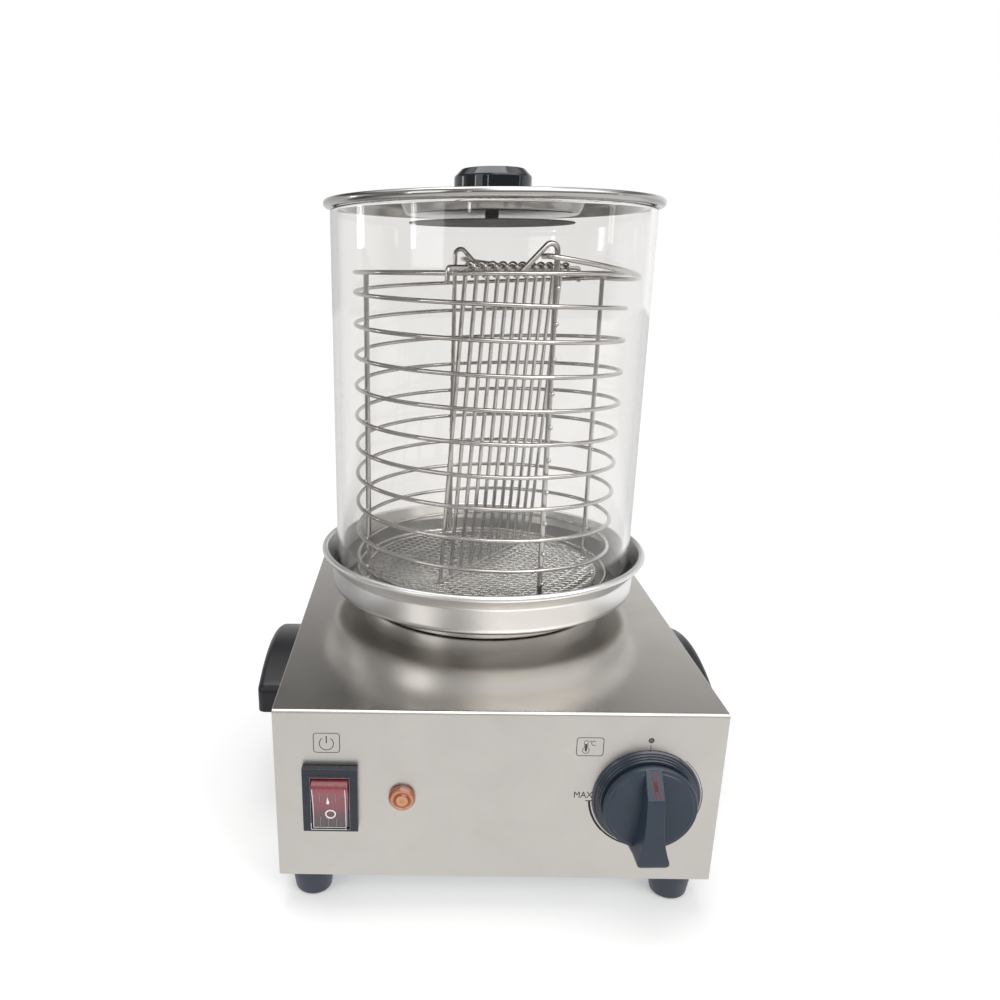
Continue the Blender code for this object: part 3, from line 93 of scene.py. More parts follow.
@dataclass(frozen=True)
class Wiring:
    """A node tree with short calls for adding its nodes. A value is a number, a vector or a socket."""

    tree: Tree

    def add(self, kind: str, settings: dict | None = None, inputs: dict | None = None) -> Node:
        """Add a node, set its properties, and set or link its inputs.

        Args:
            kind: the node's type name, without the leading ShaderNode.
            settings: property names and their values.
            inputs: socket names or numbers, and their values.

        Returns:
            The new node.
        """
        node = self.tree.nodes.new(f"ShaderNode{kind}")
        for name, value in (settings or {}).items():
            setattr(node, name, value)
        self.feed(node, inputs or {})
        return node

    def feed(self, node: Node, inputs: dict) -> None:
        """Set the inputs of a node, or link those whose value is a socket.

        Args:
            node: the node.
            inputs: socket names or numbers, and their values.
        """
        for name, value in inputs.items():
            if isinstance(value, Socket):
                self.tree.links.new(value, node.inputs[name])
            else:
                node.inputs[name].default_value = value

    def calc(self, operation: str, *values: object, clamp: bool = False) -> Socket:
        """Return the result of a sum on values."""
        node = self.add("Math", {"operation": operation, "use_clamp": clamp}, dict(enumerate(values)))
        return node.outputs[0]

    def vector(self, operation: str, *values: object) -> Socket:
        """Return the result of a sum on vectors."""
        node = self.add("VectorMath", {"operation": operation}, dict(enumerate(values)))
        return node.outputs["Value" if operation == "LENGTH" else "Vector"]

    def axis(self, vector: Socket, name: str) -> Socket:
        """Return one coordinate of a vector."""
        return self.add("SeparateXYZ", None, {0: vector}).outputs[name]

    def fit(self, value: Socket, run: Flat, to: Flat = (0.0, 1.0), smooth: bool = False) -> Socket:
        """Return a value moved from one range into another.

        Args:
            value: the value.
            run: where the change starts and ends.
            to: the result at both ends.
            smooth: whether the change eases in and out.

        Returns:
            The result, which stays at the end values outside the run.
        """
        kind = {"interpolation_type": "SMOOTHSTEP" if smooth else "LINEAR"}
        ends = {"From Min": run[0], "From Max": run[1], "To Min": to[0], "To Max": to[1]}
        return self.add("MapRange", kind, {"Value": value, **ends}).outputs["Result"]

    def ease(self, value: Socket, run: Flat, to: Flat = (0.0, 1.0)) -> Socket:
        """Return a value eased from one range into another."""
        return self.fit(value, run, to, smooth=True)

    def mix(self, mask: Socket, low: object, high: object) -> Socket:
        """Return one of two values, or a share of both, by a mask."""
        return self.add("Mix", {"data_type": "FLOAT"}, {0: mask, 2: low, 3: high}).outputs[0]

    def noise(
        self, place: Socket, scale: object, detail: float, roughness: float = 0.5, wind: float = 0.0
    ) -> Socket:
        """Return noise.

        Args:
            place: the point at which it is read.
            scale: how fine it is.
            detail: how many finer layers it has.
            roughness: how strong the finer layers are.
            wind: how much it is distorted.

        Returns:
            The noise, from 0 to 1.
        """
        inputs = {"Vector": place, "Scale": scale, "Detail": detail, "Roughness": roughness}
        return self.add("TexNoise", None, {**inputs, "Distortion": wind}).outputs["Fac"]

    def group(self, tree: Tree, **inputs: object) -> Socket:
        """Return the result of a node group."""
        return self.add("Group", {"node_tree": tree}, inputs).outputs[0]


class Groups:
    """The node groups that several finishes share, each built once."""

    @staticmethod
    def _begin(name: str, extra: str, first: object, output: str) -> tuple[Wiring, Socket, Socket, Node]:
        """Start a group that takes a vector and one more value, and gives a number.

        Args:
            name: the group's name.
            extra: the name of its second input.
            first: the first value of that input.
            output: the name of its output.

        Returns:
            The group's wiring, its two inputs and the node that takes its result.
        """
        tree = bpy.data.node_groups.new(name, "ShaderNodeTree")
        kind = "NodeSocketVector" if isinstance(first, tuple) else "NodeSocketFloat"
        tree.interface.new_socket("Vector", in_out="INPUT", socket_type="NodeSocketVector")
        tree.interface.new_socket(extra, in_out="INPUT", socket_type=kind).default_value = first
        tree.interface.new_socket(output, in_out="OUTPUT", socket_type="NodeSocketFloat")
        vector, value = tree.nodes.new("NodeGroupInput").outputs[:2]
        return Wiring(tree), vector, value, tree.nodes.new("NodeGroupOutput")

    @staticmethod
    @cache
    def stroke() -> Tree:
        """Return the group of straight polishing lines, stretched along one direction."""
        first = Grain.ALONG_X.value
        wiring, vector, stretch, end = Groups._begin("Polishing lines", "Stretch", first, "Lines")
        wiring.feed(end, {0: wiring.noise(wiring.vector("MULTIPLY", vector, stretch), 1.0, 3.0, 0.6)})
        return wiring.tree

    @staticmethod
    @cache
    def spun() -> Tree:
        """Return the group of round spinning lines about the Z axis."""
        wiring, vector, fineness, end = Groups._begin("Spinning lines", "Fineness", 1800.0, "Lines")
        radius = wiring.vector("LENGTH", wiring.vector("MULTIPLY", vector, (1.0, 1.0, 0.0)))
        place = wiring.add("CombineXYZ", None, {0: radius, 1: wiring.axis(vector, "Z")})
        wiring.feed(end, {0: wiring.noise(place.outputs[0], fineness, 2.0, 0.6)})
        return wiring.tree

    @staticmethod
    @cache
    def handling() -> Tree:
        """Return the group of soft smudges and fine dust that use leaves on a surface."""
        wiring, vector, spread, end = Groups._begin("Handling marks", "Spread", 22.0, "Marks")
        soft = wiring.fit(wiring.noise(vector, spread, 5.0, 0.62, 0.7), (0.32, 0.72))
        dust = wiring.fit(wiring.noise(vector, 900.0, 2.0), (0.35, 0.75))
        wiring.feed(end, {0: wiring.calc("MULTIPLY_ADD", dust, 0.25, soft, clamp=True)})
        return wiring.tree

    @staticmethod
    @cache
    def skin() -> Tree:
        """Return the group of the fine texture that a mould leaves on plastic and rubber."""
        wiring, vector, fineness, end = Groups._begin("Moulded skin", "Fineness", 2200.0, "Height")
        cells = wiring.add("TexVoronoi", {"feature": "SMOOTH_F1"}, {"Vector": vector, "Scale": fineness})
        noise = wiring.noise(vector, fineness, 2.0)
        wiring.feed(end, {0: wiring.calc("MULTIPLY", cells.outputs["Distance"], noise)})
        return wiring.tree


@dataclass(frozen=True)
class Finish:
    """What every finish has: a name, a colour and a roughness."""

    name: str
    colour: Point
    roughness: float

    def material(self) -> bpy.types.Material:
        """Return the material, which is built on first use."""
        known = bpy.data.materials.get(self.name)
        if known is not None:
            return known
        material = bpy.data.materials.new(self.name)
        material.use_nodes = True
        wiring = Wiring(material.node_tree)
        shader = material.node_tree.nodes["Principled BSDF"]
        self.dress(wiring, shader, wiring.add("TexCoord").outputs["Object"])
        return material

    def dress(self, wiring: Wiring, shader: Node, where: Socket) -> None:
        """Wire the finish into its shader; each kind of finish has its own way.

        Args:
            wiring: the material's wiring.
            shader: its shader.
            where: the point on the piece, in metres.
        """
        raise NotImplementedError

    def tone(self, wiring: Wiring, mask: Socket, dark: float, light: float) -> Socket:
        """Return the colour, varied from dark to light factors by a mask."""
        low, high = ((*(min(part * factor, 1.0) for part in self.colour), 1.0) for factor in (dark, light))
        return wiring.add("Mix", {"data_type": "RGBA"}, {0: mask, 6: low, 7: high}).outputs[2]


@dataclass(frozen=True)
class Steel(Finish):
    """Stainless or plated steel with polishing lines and handling marks."""

    grain: Grain = Grain.ALONG_X
    depth: float = 0.15
    marks: float = 0.05
    axis: Point = (0.0, 0.0, 0.0)
    top_level: float = 0.0
    top_gloss: float = 0.0

    def dress(self, wiring: Wiring, shader: Node, where: Socket) -> None:
        """Wire lines into bump and roughness, and marks into roughness and colour."""
        shift = {"Vector": where, "Location": tuple(-part for part in self.axis)}
        centred = wiring.add("Mapping", None, shift).outputs[0]
        if self.grain is Grain.SPUN:
            lines = wiring.group(Groups.spun(), Vector=centred)
        else:
            lines = wiring.group(Groups.stroke(), Vector=centred, Stretch=self.grain.value)
        marks = wiring.group(Groups.handling(), Vector=where)
        both = wiring.calc("MULTIPLY_ADD", lines, 0.6, marks)
        rough = wiring.fit(both, (0.0, 1.0), (self.roughness - self.marks, self.roughness + self.marks))
        if self.top_gloss:
            above = wiring.fit(wiring.axis(where, "Z"), (self.top_level - 0.001, self.top_level))
            rough = wiring.calc("SUBTRACT", rough, wiring.calc("MULTIPLY", above, self.top_gloss))
        bump = wiring.add("Bump", None, {"Height": lines, "Strength": self.depth, "Distance": 0.0001})
        colour = self.tone(wiring, marks, 1.0, 0.93)
        wiring.feed(shader, {"Base Color": colour, "Roughness": rough, "Normal": bump.outputs["Normal"]})
        wiring.feed(shader, {"Metallic": 1.0})


@dataclass(frozen=True)
class Plastic(Finish):
    """Moulded plastic or rubber with a fine skin and rubbed patches."""

    fineness: float = 2200.0
    depth: float = 0.12
    coat: float = 0.0
    rub: float = 0.06
    gloss: float = 0.5

    def dress(self, wiring: Wiring, shader: Node, where: Socket) -> None:
        """Wire the skin into bump and the rubbed patches into roughness and colour."""
        skin = wiring.group(Groups.skin(), Vector=where, Fineness=self.fineness)
        marks = wiring.group(Groups.handling(), Vector=where, Spread=45.0)
        bump = wiring.add("Bump", None, {"Height": skin, "Strength": self.depth, "Distance": 0.0002})
        ends = (self.roughness + self.rub, max(self.roughness - self.rub, 0.02))
        rough = wiring.fit(marks, (0.0, 1.0), ends)
        colour = self.tone(wiring, marks, 0.92, 1.12)
        wiring.feed(shader, {"Base Color": colour, "Roughness": rough, "Normal": bump.outputs["Normal"]})
        wiring.feed(shader, {"Coat Weight": self.coat, "Coat Roughness": 0.08})
        wiring.feed(shader, {"Specular IOR Level": self.gloss})


@dataclass(frozen=True)
class Glass(Finish):
    """Clear glass with the faintest film of steam marks."""

    def dress(self, wiring: Wiring, shader: Node, where: Socket) -> None:
        """Wire the film into roughness; the glass itself is plain and clear."""
        marks = wiring.group(Groups.handling(), Vector=where, Spread=14.0)
        rough = wiring.fit(marks, (0.0, 1.0), (self.roughness, self.roughness + 0.015))
        wiring.feed(shader, {"Base Color": self.tone(wiring, marks, 1.0, 0.985), "Roughness": rough})
        wiring.feed(shader, {"Transmission Weight": 1.0, "IOR": 1.47})


@dataclass(frozen=True)
class Tinted(Finish):
    """Translucent coloured plastic whose colour runs through stops along the height; the stops paint bands of
    shade and highlight.
    """

    stops: tuple[tuple[float, Point], ...] = ()
    coat: float = 0.15

    def run(self, wiring: Wiring, where: Socket) -> Socket:
        """Return the distance, in metres, along which the colour runs."""
        return wiring.axis(where, "Z")

    def dress(self, wiring: Wiring, shader: Node, where: Socket) -> None:
        """Wire the stops of painted shade and highlight, with fine streaks, into the colour and the
        roughness.
        """
        first, last = self.stops[0][0], self.stops[-1][0]
        streaks = wiring.group(Groups.stroke(), Vector=where, Stretch=(900.0, 200.0, 60.0))
        wander = wiring.calc("MULTIPLY_ADD", streaks, (last - first) * 0.06, self.run(wiring, where))
        ramp = wiring.add("ValToRGB", None, {"Fac": wiring.fit(wander, (first, last))})
        for place, _ in self.stops[1:-1]:
            ramp.color_ramp.elements.new((place - first) / (last - first))
        for element, (_, colour) in zip(ramp.color_ramp.elements, self.stops):
            element.color = (*colour, 1.0)
        rough = wiring.fit(streaks, (0.0, 1.0), (self.roughness - 0.05, self.roughness + 0.08))
        wiring.feed(shader, {"Base Color": ramp.outputs["Color"], "Roughness": rough})
        wiring.feed(shader, {"Coat Weight": self.coat, "Coat Roughness": 0.06})


@dataclass(frozen=True)
class Lens(Tinted):
    """A moulded lens whose colour runs through rings round its axis, which points along Y; the rings paint
    highlights and shade over its amber.
    """

    centre: Point = (0.0, 0.0, 0.0)

    def run(self, wiring: Wiring, where: Socket) -> Socket:
        """Return the distance from the lens's axis."""
        flat = wiring.vector("MULTIPLY", wiring.vector("SUBTRACT", where, self.centre), (1.0, 0.0, 1.0))
        return wiring.vector("LENGTH", flat)


# The axis of the pan, the glass, the basket and the lid.
TOWER: Point = (0.0, 0.03025, 0.0)
SATIN = Steel(
    "satin steel sheet", (0.61, 0.580, 0.545), 0.30, Grain.ALONG_X, 0.10, 0.03, TOWER, 0.1224, 0.12
)
TOP_SATIN = Steel("satin steel side", (0.62, 0.595, 0.565), 0.30, Grain.ALONG_Y, 0.10, 0.03)
SPUN = Steel("spun steel", (0.76, 0.755, 0.745), 0.31, Grain.SPUN, 0.10, 0.04, TOWER)
LID_STEEL = Steel("pressed bright steel", (0.43, 0.417, 0.403), 0.12, Grain.SPUN, 0.06, 0.03, TOWER)
WIRE = Steel("drawn steel wire", (0.60, 0.575, 0.55), 0.12, Grain.DRAWN, 0.08, 0.04)
NET_WIRE = Steel("woven steel wire", (0.58, 0.57, 0.55), 0.14, Grain.DRAWN, 0.10, 0.05)
ZINC = Steel("zinc plated steel", (0.50, 0.51, 0.52), 0.42, Grain.ALONG_X, 0.20, 0.10)
ALUMINIUM = Steel("machined aluminium", (0.68, 0.68, 0.69), 0.38, Grain.SPUN, 0.25, 0.06, TOWER)
BRASS = Steel("turned brass", (0.70, 0.52, 0.25), 0.32, Grain.DRAWN, 0.15, 0.06)
RING_DARK = Plastic("dark dial ring", (0.024, 0.033, 0.050), 0.24, 2600.0, 0.04, 0.5, 0.04)
BLACK = Plastic("black moulded plastic", (0.010, 0.010, 0.013), 0.32, 1800.0, 0.10, 0.0, 0.06, 0.36)
SLATE = Plastic("slate moulded plastic", (0.018, 0.031, 0.051), 0.34, 2600.0, 0.06, 0.0)
# Painted shade: a dark finish for the disc that stands for the shade under the lid's dish.
SHADE_DISC = Plastic("painted shade disc under the lid", (0.120, 0.115, 0.112), 0.50, 1500.0, 0.10, 0.0, 0.06, 0.05)
FRAME_BLACK = Plastic("switch frame plastic", (0.009, 0.014, 0.025), 0.30, 2600.0, 0.05, 0.1)
# Painted highlight: a pale grey for thin lines that stand for highlights on the switch's edges.
GREY_HIGHLIGHT = Plastic("painted grey highlight line", (0.30, 0.27, 0.28), 0.20, 3000.0, 0.03, 0.5)
KNOB_GLOSS = Plastic("glossy lid knob", (0.007, 0.010, 0.014), 0.09, 900.0, 0.02, 0.0, 0.03)
RUBBER = Plastic("slate rubber", (0.028, 0.036, 0.054), 0.50, 1500.0, 0.20, 0.0)
NYLON = Plastic("natural nylon", (0.68, 0.66, 0.58), 0.50, 1500.0, 0.10, 0.0)
RESIN = Plastic("brown resin", (0.16, 0.07, 0.04), 0.45, 1500.0, 0.10, 0.0)
INK = Plastic("panel print", (0.018, 0.017, 0.016), 0.60, 3500.0, 0.05, 0.0)
GREY_INK = Plastic("grey panel print", (0.12, 0.115, 0.105), 0.55, 3500.0, 0.05, 0.0)
WHITE_MARK = Plastic("white switch mark", (0.86, 0.82, 0.82), 0.40, 3500.0, 0.04, 0.1)
RED_LINE = Plastic("red pointer line", (0.36, 0.025, 0.045), 0.45, 3000.0, 0.05, 0.0)
CLEAR = Glass("clear glass", (0.930, 0.922, 0.911), 0.0)
# Painted highlight: a near white for lines that stand for highlights on the edges of the switch cap.
PALE_HIGHLIGHT = Plastic("painted pale highlight line", (0.62, 0.60, 0.60), 0.15, 3000.0, 0.03, 0.6)
RED_DARK = Plastic("dark red pointer heart", (0.16, 0.02, 0.03), 0.40, 3000.0, 0.05, 0.1)
# Painted shade and highlight: the stops run from grey low down through pink to a bright red band and a darker
# top edge, for how light falls on the rocker under its cap.
ROCKER_RED_SHADED = Tinted(
    "translucent red rocker with painted shading",
    (0.34, 0.035, 0.050),
    0.26,
    (
        (0.0560, (0.10, 0.092, 0.092)), (0.0625, (0.15, 0.085, 0.095)), (0.0680, (0.25, 0.085, 0.105)),
        (0.0775, (0.27, 0.080, 0.100)), (0.0802, (0.33, 0.036, 0.050)), (0.0818, (0.22, 0.022, 0.032)),
        (0.0850, (0.17, 0.016, 0.024)),
    ),
)
# Partly the lens's own amber, partly painted light: peach rings are painted highlights and the dark rings
# painted shade on its steps.
AMBER_PAINTED_RINGS = Lens(
    "amber lamp lens with painted highlight rings",
    (0.55, 0.17, 0.06),
    0.16,
    (
        (0.0000, (0.30, 0.16, 0.045)), (0.0014, (0.55, 0.24, 0.09)), (0.0030, (0.62, 0.27, 0.13)),
        (0.0038, (0.22, 0.055, 0.018)), (0.0047, (0.36, 0.10, 0.035)), (0.0054, (0.60, 0.26, 0.14)),
        (0.0064, (0.48, 0.15, 0.07)), (0.0073, (0.24, 0.09, 0.04)),
    ),
    0.7,
    (-0.0513, 0.0, 0.0713),
)


def rounded(corners: Sequence[Flat], radii: Sequence[float], steps: int) -> list[Flat]:
    """Return a path through corners, with an arc at each inner corner.

    Args:
        corners: the path's corner points.
        radii: the arc radius of each inner corner, zero where it stays sharp.
        steps: how many straight pieces each arc has.

    Returns:
        The points of the path.
    """
    turns = [Vector(corner) for corner in corners]
    points = [turns[0]]
    for before, corner, after, radius in zip(turns, turns[1:], turns[2:], radii):
        back, ahead = (before - corner).normalized(), (after - corner).normalized()
        opening = back.angle(ahead)
        if radius == 0 or opening > math.pi - 0.02:
            points.append(corner)
            continue
        centre = corner + (back + ahead).normalized() * radius / math.sin(opening / 2)
        reach = radius / math.tan(opening / 2)
        start, end = corner + back * reach - centre, corner + ahead * reach - centre
        turn = math.pi - opening
        for step in range(steps + 1):
            share = step / steps
            arm = start * math.sin((1 - share) * turn) + end * math.sin(share * turn)
            points.append(centre + arm / math.sin(turn))
    points.append(turns[-1])
    return [tuple(point) for point in points]


def sheet_section(path: Sequence[Flat], bead: Flat, bead_radius: float, steps: int) -> list[Flat]:
    """Close the middle line of a sheet into a section that ends in a rolled bead.

    Args:
        path: the middle line, from the axis to the rim.
        bead: the middle of the bead.
        bead_radius: the radius of the bead.
        steps: how many straight pieces the bead has.

    Returns:
        The closed section's points, from the axis round the bead and back.
    """
    line = [Vector(point) for point in path]
    sides: list[list[Vector]] = []
    for sign in (1, -1):
        side = []
        for index, point in enumerate(line):
            back = (point - line[index - 1]).normalized() if index else (line[1] - point).normalized()
            ahead = (line[index + 1] - point).normalized() if index < len(line) - 1 else back
            along = (back + ahead).normalized()
            normal = Vector((-along.y, along.x))
            side.append(point + normal * sign * WALL / 2 / max(along.dot(ahead), 0.5))
        sides.append(side)
    inner, outer = sides
    centre = Vector(bead)
    first = math.atan2(*(inner[-1] - centre).yx)
    final = math.atan2(*(outer[-1] - centre).yx)
    while final > first:
        final -= math.tau
    roll = []
    for step in range(steps + 1):
        angle = first + (final - first) * step / steps
        roll.append(centre + Vector((math.cos(angle), math.sin(angle))) * bead_radius)
    return [tuple(point) for point in inner[:-1] + roll + outer[-2::-1]]


def arc(centre: Flat, radius: float, start: float = 0, span: float = 360, steps: int = 24) -> list[Flat]:
    """Return points on a circle.

    Args:
        centre: the circle's centre.
        radius: its radius.
        start: the angle of the first point, in degrees.
        span: the angle that the arc covers, in degrees.
        steps: how many straight pieces the arc has.

    Returns:
        The points, without the last one where the arc is a full circle.
    """
    turns = [math.radians(start + span * step / steps) for step in range(steps if span == 360 else steps + 1)]
    return [(centre[0] + radius * math.cos(turn), centre[1] + radius * math.sin(turn)) for turn in turns]


def on_tower(radius: float, angle: float, height: float) -> Point:
    """Return a point at an angle round the axis of the glass and the basket."""
    return (radius * math.cos(angle), TOWER[1] + radius * math.sin(angle), height)


class Bench:
    """The modelling tools: a piece starts as a primitive and is shaped in edit mode."""

    @staticmethod
    def mode(kind: str) -> None:
        """Enter object mode or edit mode, unless it is on."""
        if bpy.context.object is not None and bpy.context.object.mode != kind:
            bpy.ops.object.mode_set(mode=kind)

    @staticmethod
    def clear() -> None:
        """Leave edit mode and deselect everything."""
        Bench.mode("OBJECT")
        bpy.ops.object.select_all(action="DESELECT")

    @staticmethod
    def pick(obj: Thing, kind: str, test: Callable) -> None:
        """Select the faces, edges or vertices that pass a test, in edit mode.

        Args:
            obj: the object that is being edited.
            kind: FACE, EDGE or VERT.
            test: is given each element and says whether it is selected.
        """
        bpy.ops.mesh.select_mode(type=kind)
        bpy.ops.mesh.select_all(action="DESELECT")
        work = bmesh.from_edit_mesh(obj.data)
        for element in {"FACE": work.faces, "EDGE": work.edges, "VERT": work.verts}[kind]:
            if test(element):
                element.select_set(True)
        work.select_flush_mode()
        bmesh.update_edit_mesh(obj.data)

    @staticmethod
    def extrude(move: Point) -> None:
        """Extrude the selection along a vector."""
        bpy.ops.mesh.extrude_region_move(TRANSFORM_OT_translate={"value": move})

    @classmethod
    def close_up(cls, obj: Thing, angle: float = 35.0, weigh: bool = False) -> Thing:
        """Weld doubles, turn the faces outwards, settle the transform and shade smooth.

        Args:
            obj: the piece, in either mode.
            angle: the largest angle between faces that is still smooth, in degrees.
            weigh: whether large faces stay flat beside the small faces of a rounded edge.

        Returns:
            The piece.
        """
        bpy.context.view_layer.objects.active = obj
        obj.select_set(True)
        cls.mode("EDIT")
        bpy.ops.mesh.select_mode(type="VERT")
        Bench.select_all()
        bpy.ops.mesh.remove_doubles(threshold=MERGE)
        bpy.ops.mesh.normals_make_consistent(inside=False)
        Bench.mode("OBJECT")
        bpy.ops.object.transform_apply(location=True, rotation=True, scale=True)
        bpy.ops.object.shade_smooth_by_angle(angle=math.radians(angle))
        if weigh:
            cls.modify(obj, "WEIGHTED_NORMAL", keep_sharp=True, weight=100)
        return obj

    @classmethod
    def soften(cls, obj: Thing, width: float, angle: float = 30.0) -> None:
        """Round the edges whose faces meet at more than an angle in degrees."""
        limit = {"limit_method": "ANGLE", "angle_limit": math.radians(angle)}
        cls.modify(obj, "BEVEL", width=width, segments=3, **limit)

    @staticmethod
    def select_all() -> None:
        """Select the whole mesh, in edit mode."""
        bpy.ops.mesh.select_all(action="SELECT")

    @staticmethod
    def begin(name: str) -> Thing:
        """Name the piece just added, settle its transform and enter edit mode.

        Args:
            name: the piece's name.

        Returns:
            The piece, left in edit mode.
        """
        obj = bpy.context.object
        obj.name = name
        bpy.ops.object.transform_apply(location=True, rotation=True, scale=True)
        Bench.mode("EDIT")
        return obj

    @classmethod
    def profile(cls, name: str, points: Sequence[Point]) -> Thing:
        """Draw a line of vertices in edit mode, from a plane merged to one point.

        Args:
            name: the piece's name.
            points: the points of the line.

        Returns:
            The object, left in edit mode with its last vertex selected.
        """
        cls.clear()
        bpy.ops.mesh.primitive_plane_add(size=0.01, location=(0, 0, 0))
        obj = bpy.context.object
        obj.name = name
        Bench.mode("EDIT")
        Bench.select_all()
        bpy.ops.mesh.merge(type="CENTER")
        bpy.ops.transform.translate(value=points[0])
        for before, after in zip(points, points[1:]):
            move = tuple(end - start for start, end in zip(before, after))
            bpy.ops.mesh.extrude_vertices_move(TRANSFORM_OT_translate={"value": move})
        return obj

    @classmethod
    def turned(
        cls,
        name: str,
        section: Sequence[Flat],
        centre: Point,
        steps: int = 96,
        facing: Facing = Facing.UP,
        loop: bool = False,
    ) -> Thing:
        """Spin a section of (radius, height) points round an axis.

        Args:
            name: the piece's name.
            section: the section's points.
            centre: the point on the axis where the height is zero.
            steps: how many steps the turn has.
            facing: the way in which the axis points.
            loop: whether the section closes on itself away from the axis.

        Returns:
            The turned piece.
        """
        line = [*section, section[0]] if loop else list(section)
        obj = cls.profile(name, [(radius, 0.0, height) for radius, height in line])
        Bench.select_all()
        bpy.ops.mesh.spin(steps=steps, angle=math.tau, center=(0, 0, 0), axis=(0, 0, 1))
        Bench.mode("OBJECT")
        obj.location = centre
        obj.rotation_euler = facing.value
        return cls.close_up(obj, weigh=True)

    @classmethod
    def wire(
        cls,
        name: str,
        runs: Sequence[Sequence[Point]],
        radius: float,
        sides: int = 12,
        loop: bool = False,
    ) -> Thing:
        """Bend round wire along one or more runs of points.

        Args:
            name: the piece's name.
            runs: the points of each wire.
            radius: the wire's radius.
            sides: how many sides its section has.
            loop: whether each wire closes on itself.

        Returns:
            The wire as a mesh object.
        """
        cls.clear()
        bpy.ops.curve.primitive_bezier_curve_add(location=(0, 0, 0))
        obj = bpy.context.object
        obj.name = name
        curve = obj.data
        curve.splines.clear()
        curve.dimensions = "3D"
        curve.bevel_depth = radius
        curve.bevel_resolution = max((sides - 4) // 2, 0)
        curve.use_fill_caps = not loop
        for points in runs:
            spline = curve.splines.new("POLY")
            spline.points.add(len(points) - 1)
            for slot, point in zip(spline.points, points):
                slot.co = (*point, 1.0)
            spline.use_cyclic_u = loop
        bpy.ops.object.convert(target="MESH")
        return cls.close_up(bpy.context.object, 50.0)

    @classmethod
    def cube(cls, name: str, size: Point, centre: Point) -> Thing:
        """Add a cube primitive at its size and place and enter edit mode.

        Args:
            name: the piece's name.
            size: its lengths along X, Y and Z.
            centre: its middle.

        Returns:
            The object, left in edit mode.
        """
        cls.clear()
        bpy.ops.mesh.primitive_cube_add(size=1, location=centre, scale=size)
        return cls.begin(name)

    @staticmethod
    def modify(obj: Thing, kind: str, **settings: object) -> None:
        """Add a modifier to a piece and apply it.

        Args:
            obj: the piece.
            kind: the modifier's type.
            settings: the modifier's properties.
        """
        Bench.mode("OBJECT")
        bpy.context.view_layer.objects.active = obj
        modifier = obj.modifiers.new(kind.title(), kind)
        for name, value in settings.items():
            setattr(modifier, name, value)
        bpy.ops.object.modifier_apply(modifier=modifier.name)

    @staticmethod
    def hand_over(obj: Thing, body: Body, finish: Finish, slot: str, *nodes: str) -> Thing:
        """Give a piece its finish, put it on its body and hide what it replaces.

        Args:
            obj: the finished piece.
            body: the body that it rides on.
            finish: its finish.
            slot: the material slot of the record that it follows; not used.
            nodes: the model's nodes that it stands for.

        Returns:
            The piece.
        """
        obj.data.materials.clear()
        obj.data.materials.append(finish.material())
        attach(obj, body.value)
        if nodes:
            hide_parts(*nodes)
        LOG.info("%s rides on %s, %d faces", obj.name, body.value, len(obj.data.polygons))
        return obj


def dress_nodes(finish: Finish, *names: str) -> None:
    """Give model nodes that stay in view a finish of their own.

    Args:
        finish: the finish.
        names: the nodes.
    """
    for name in names:
        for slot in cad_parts[name].material_slots:
            slot.material = finish.material()
        LOG.info("%s keeps its shape and is dressed in %s", name, finish.name)


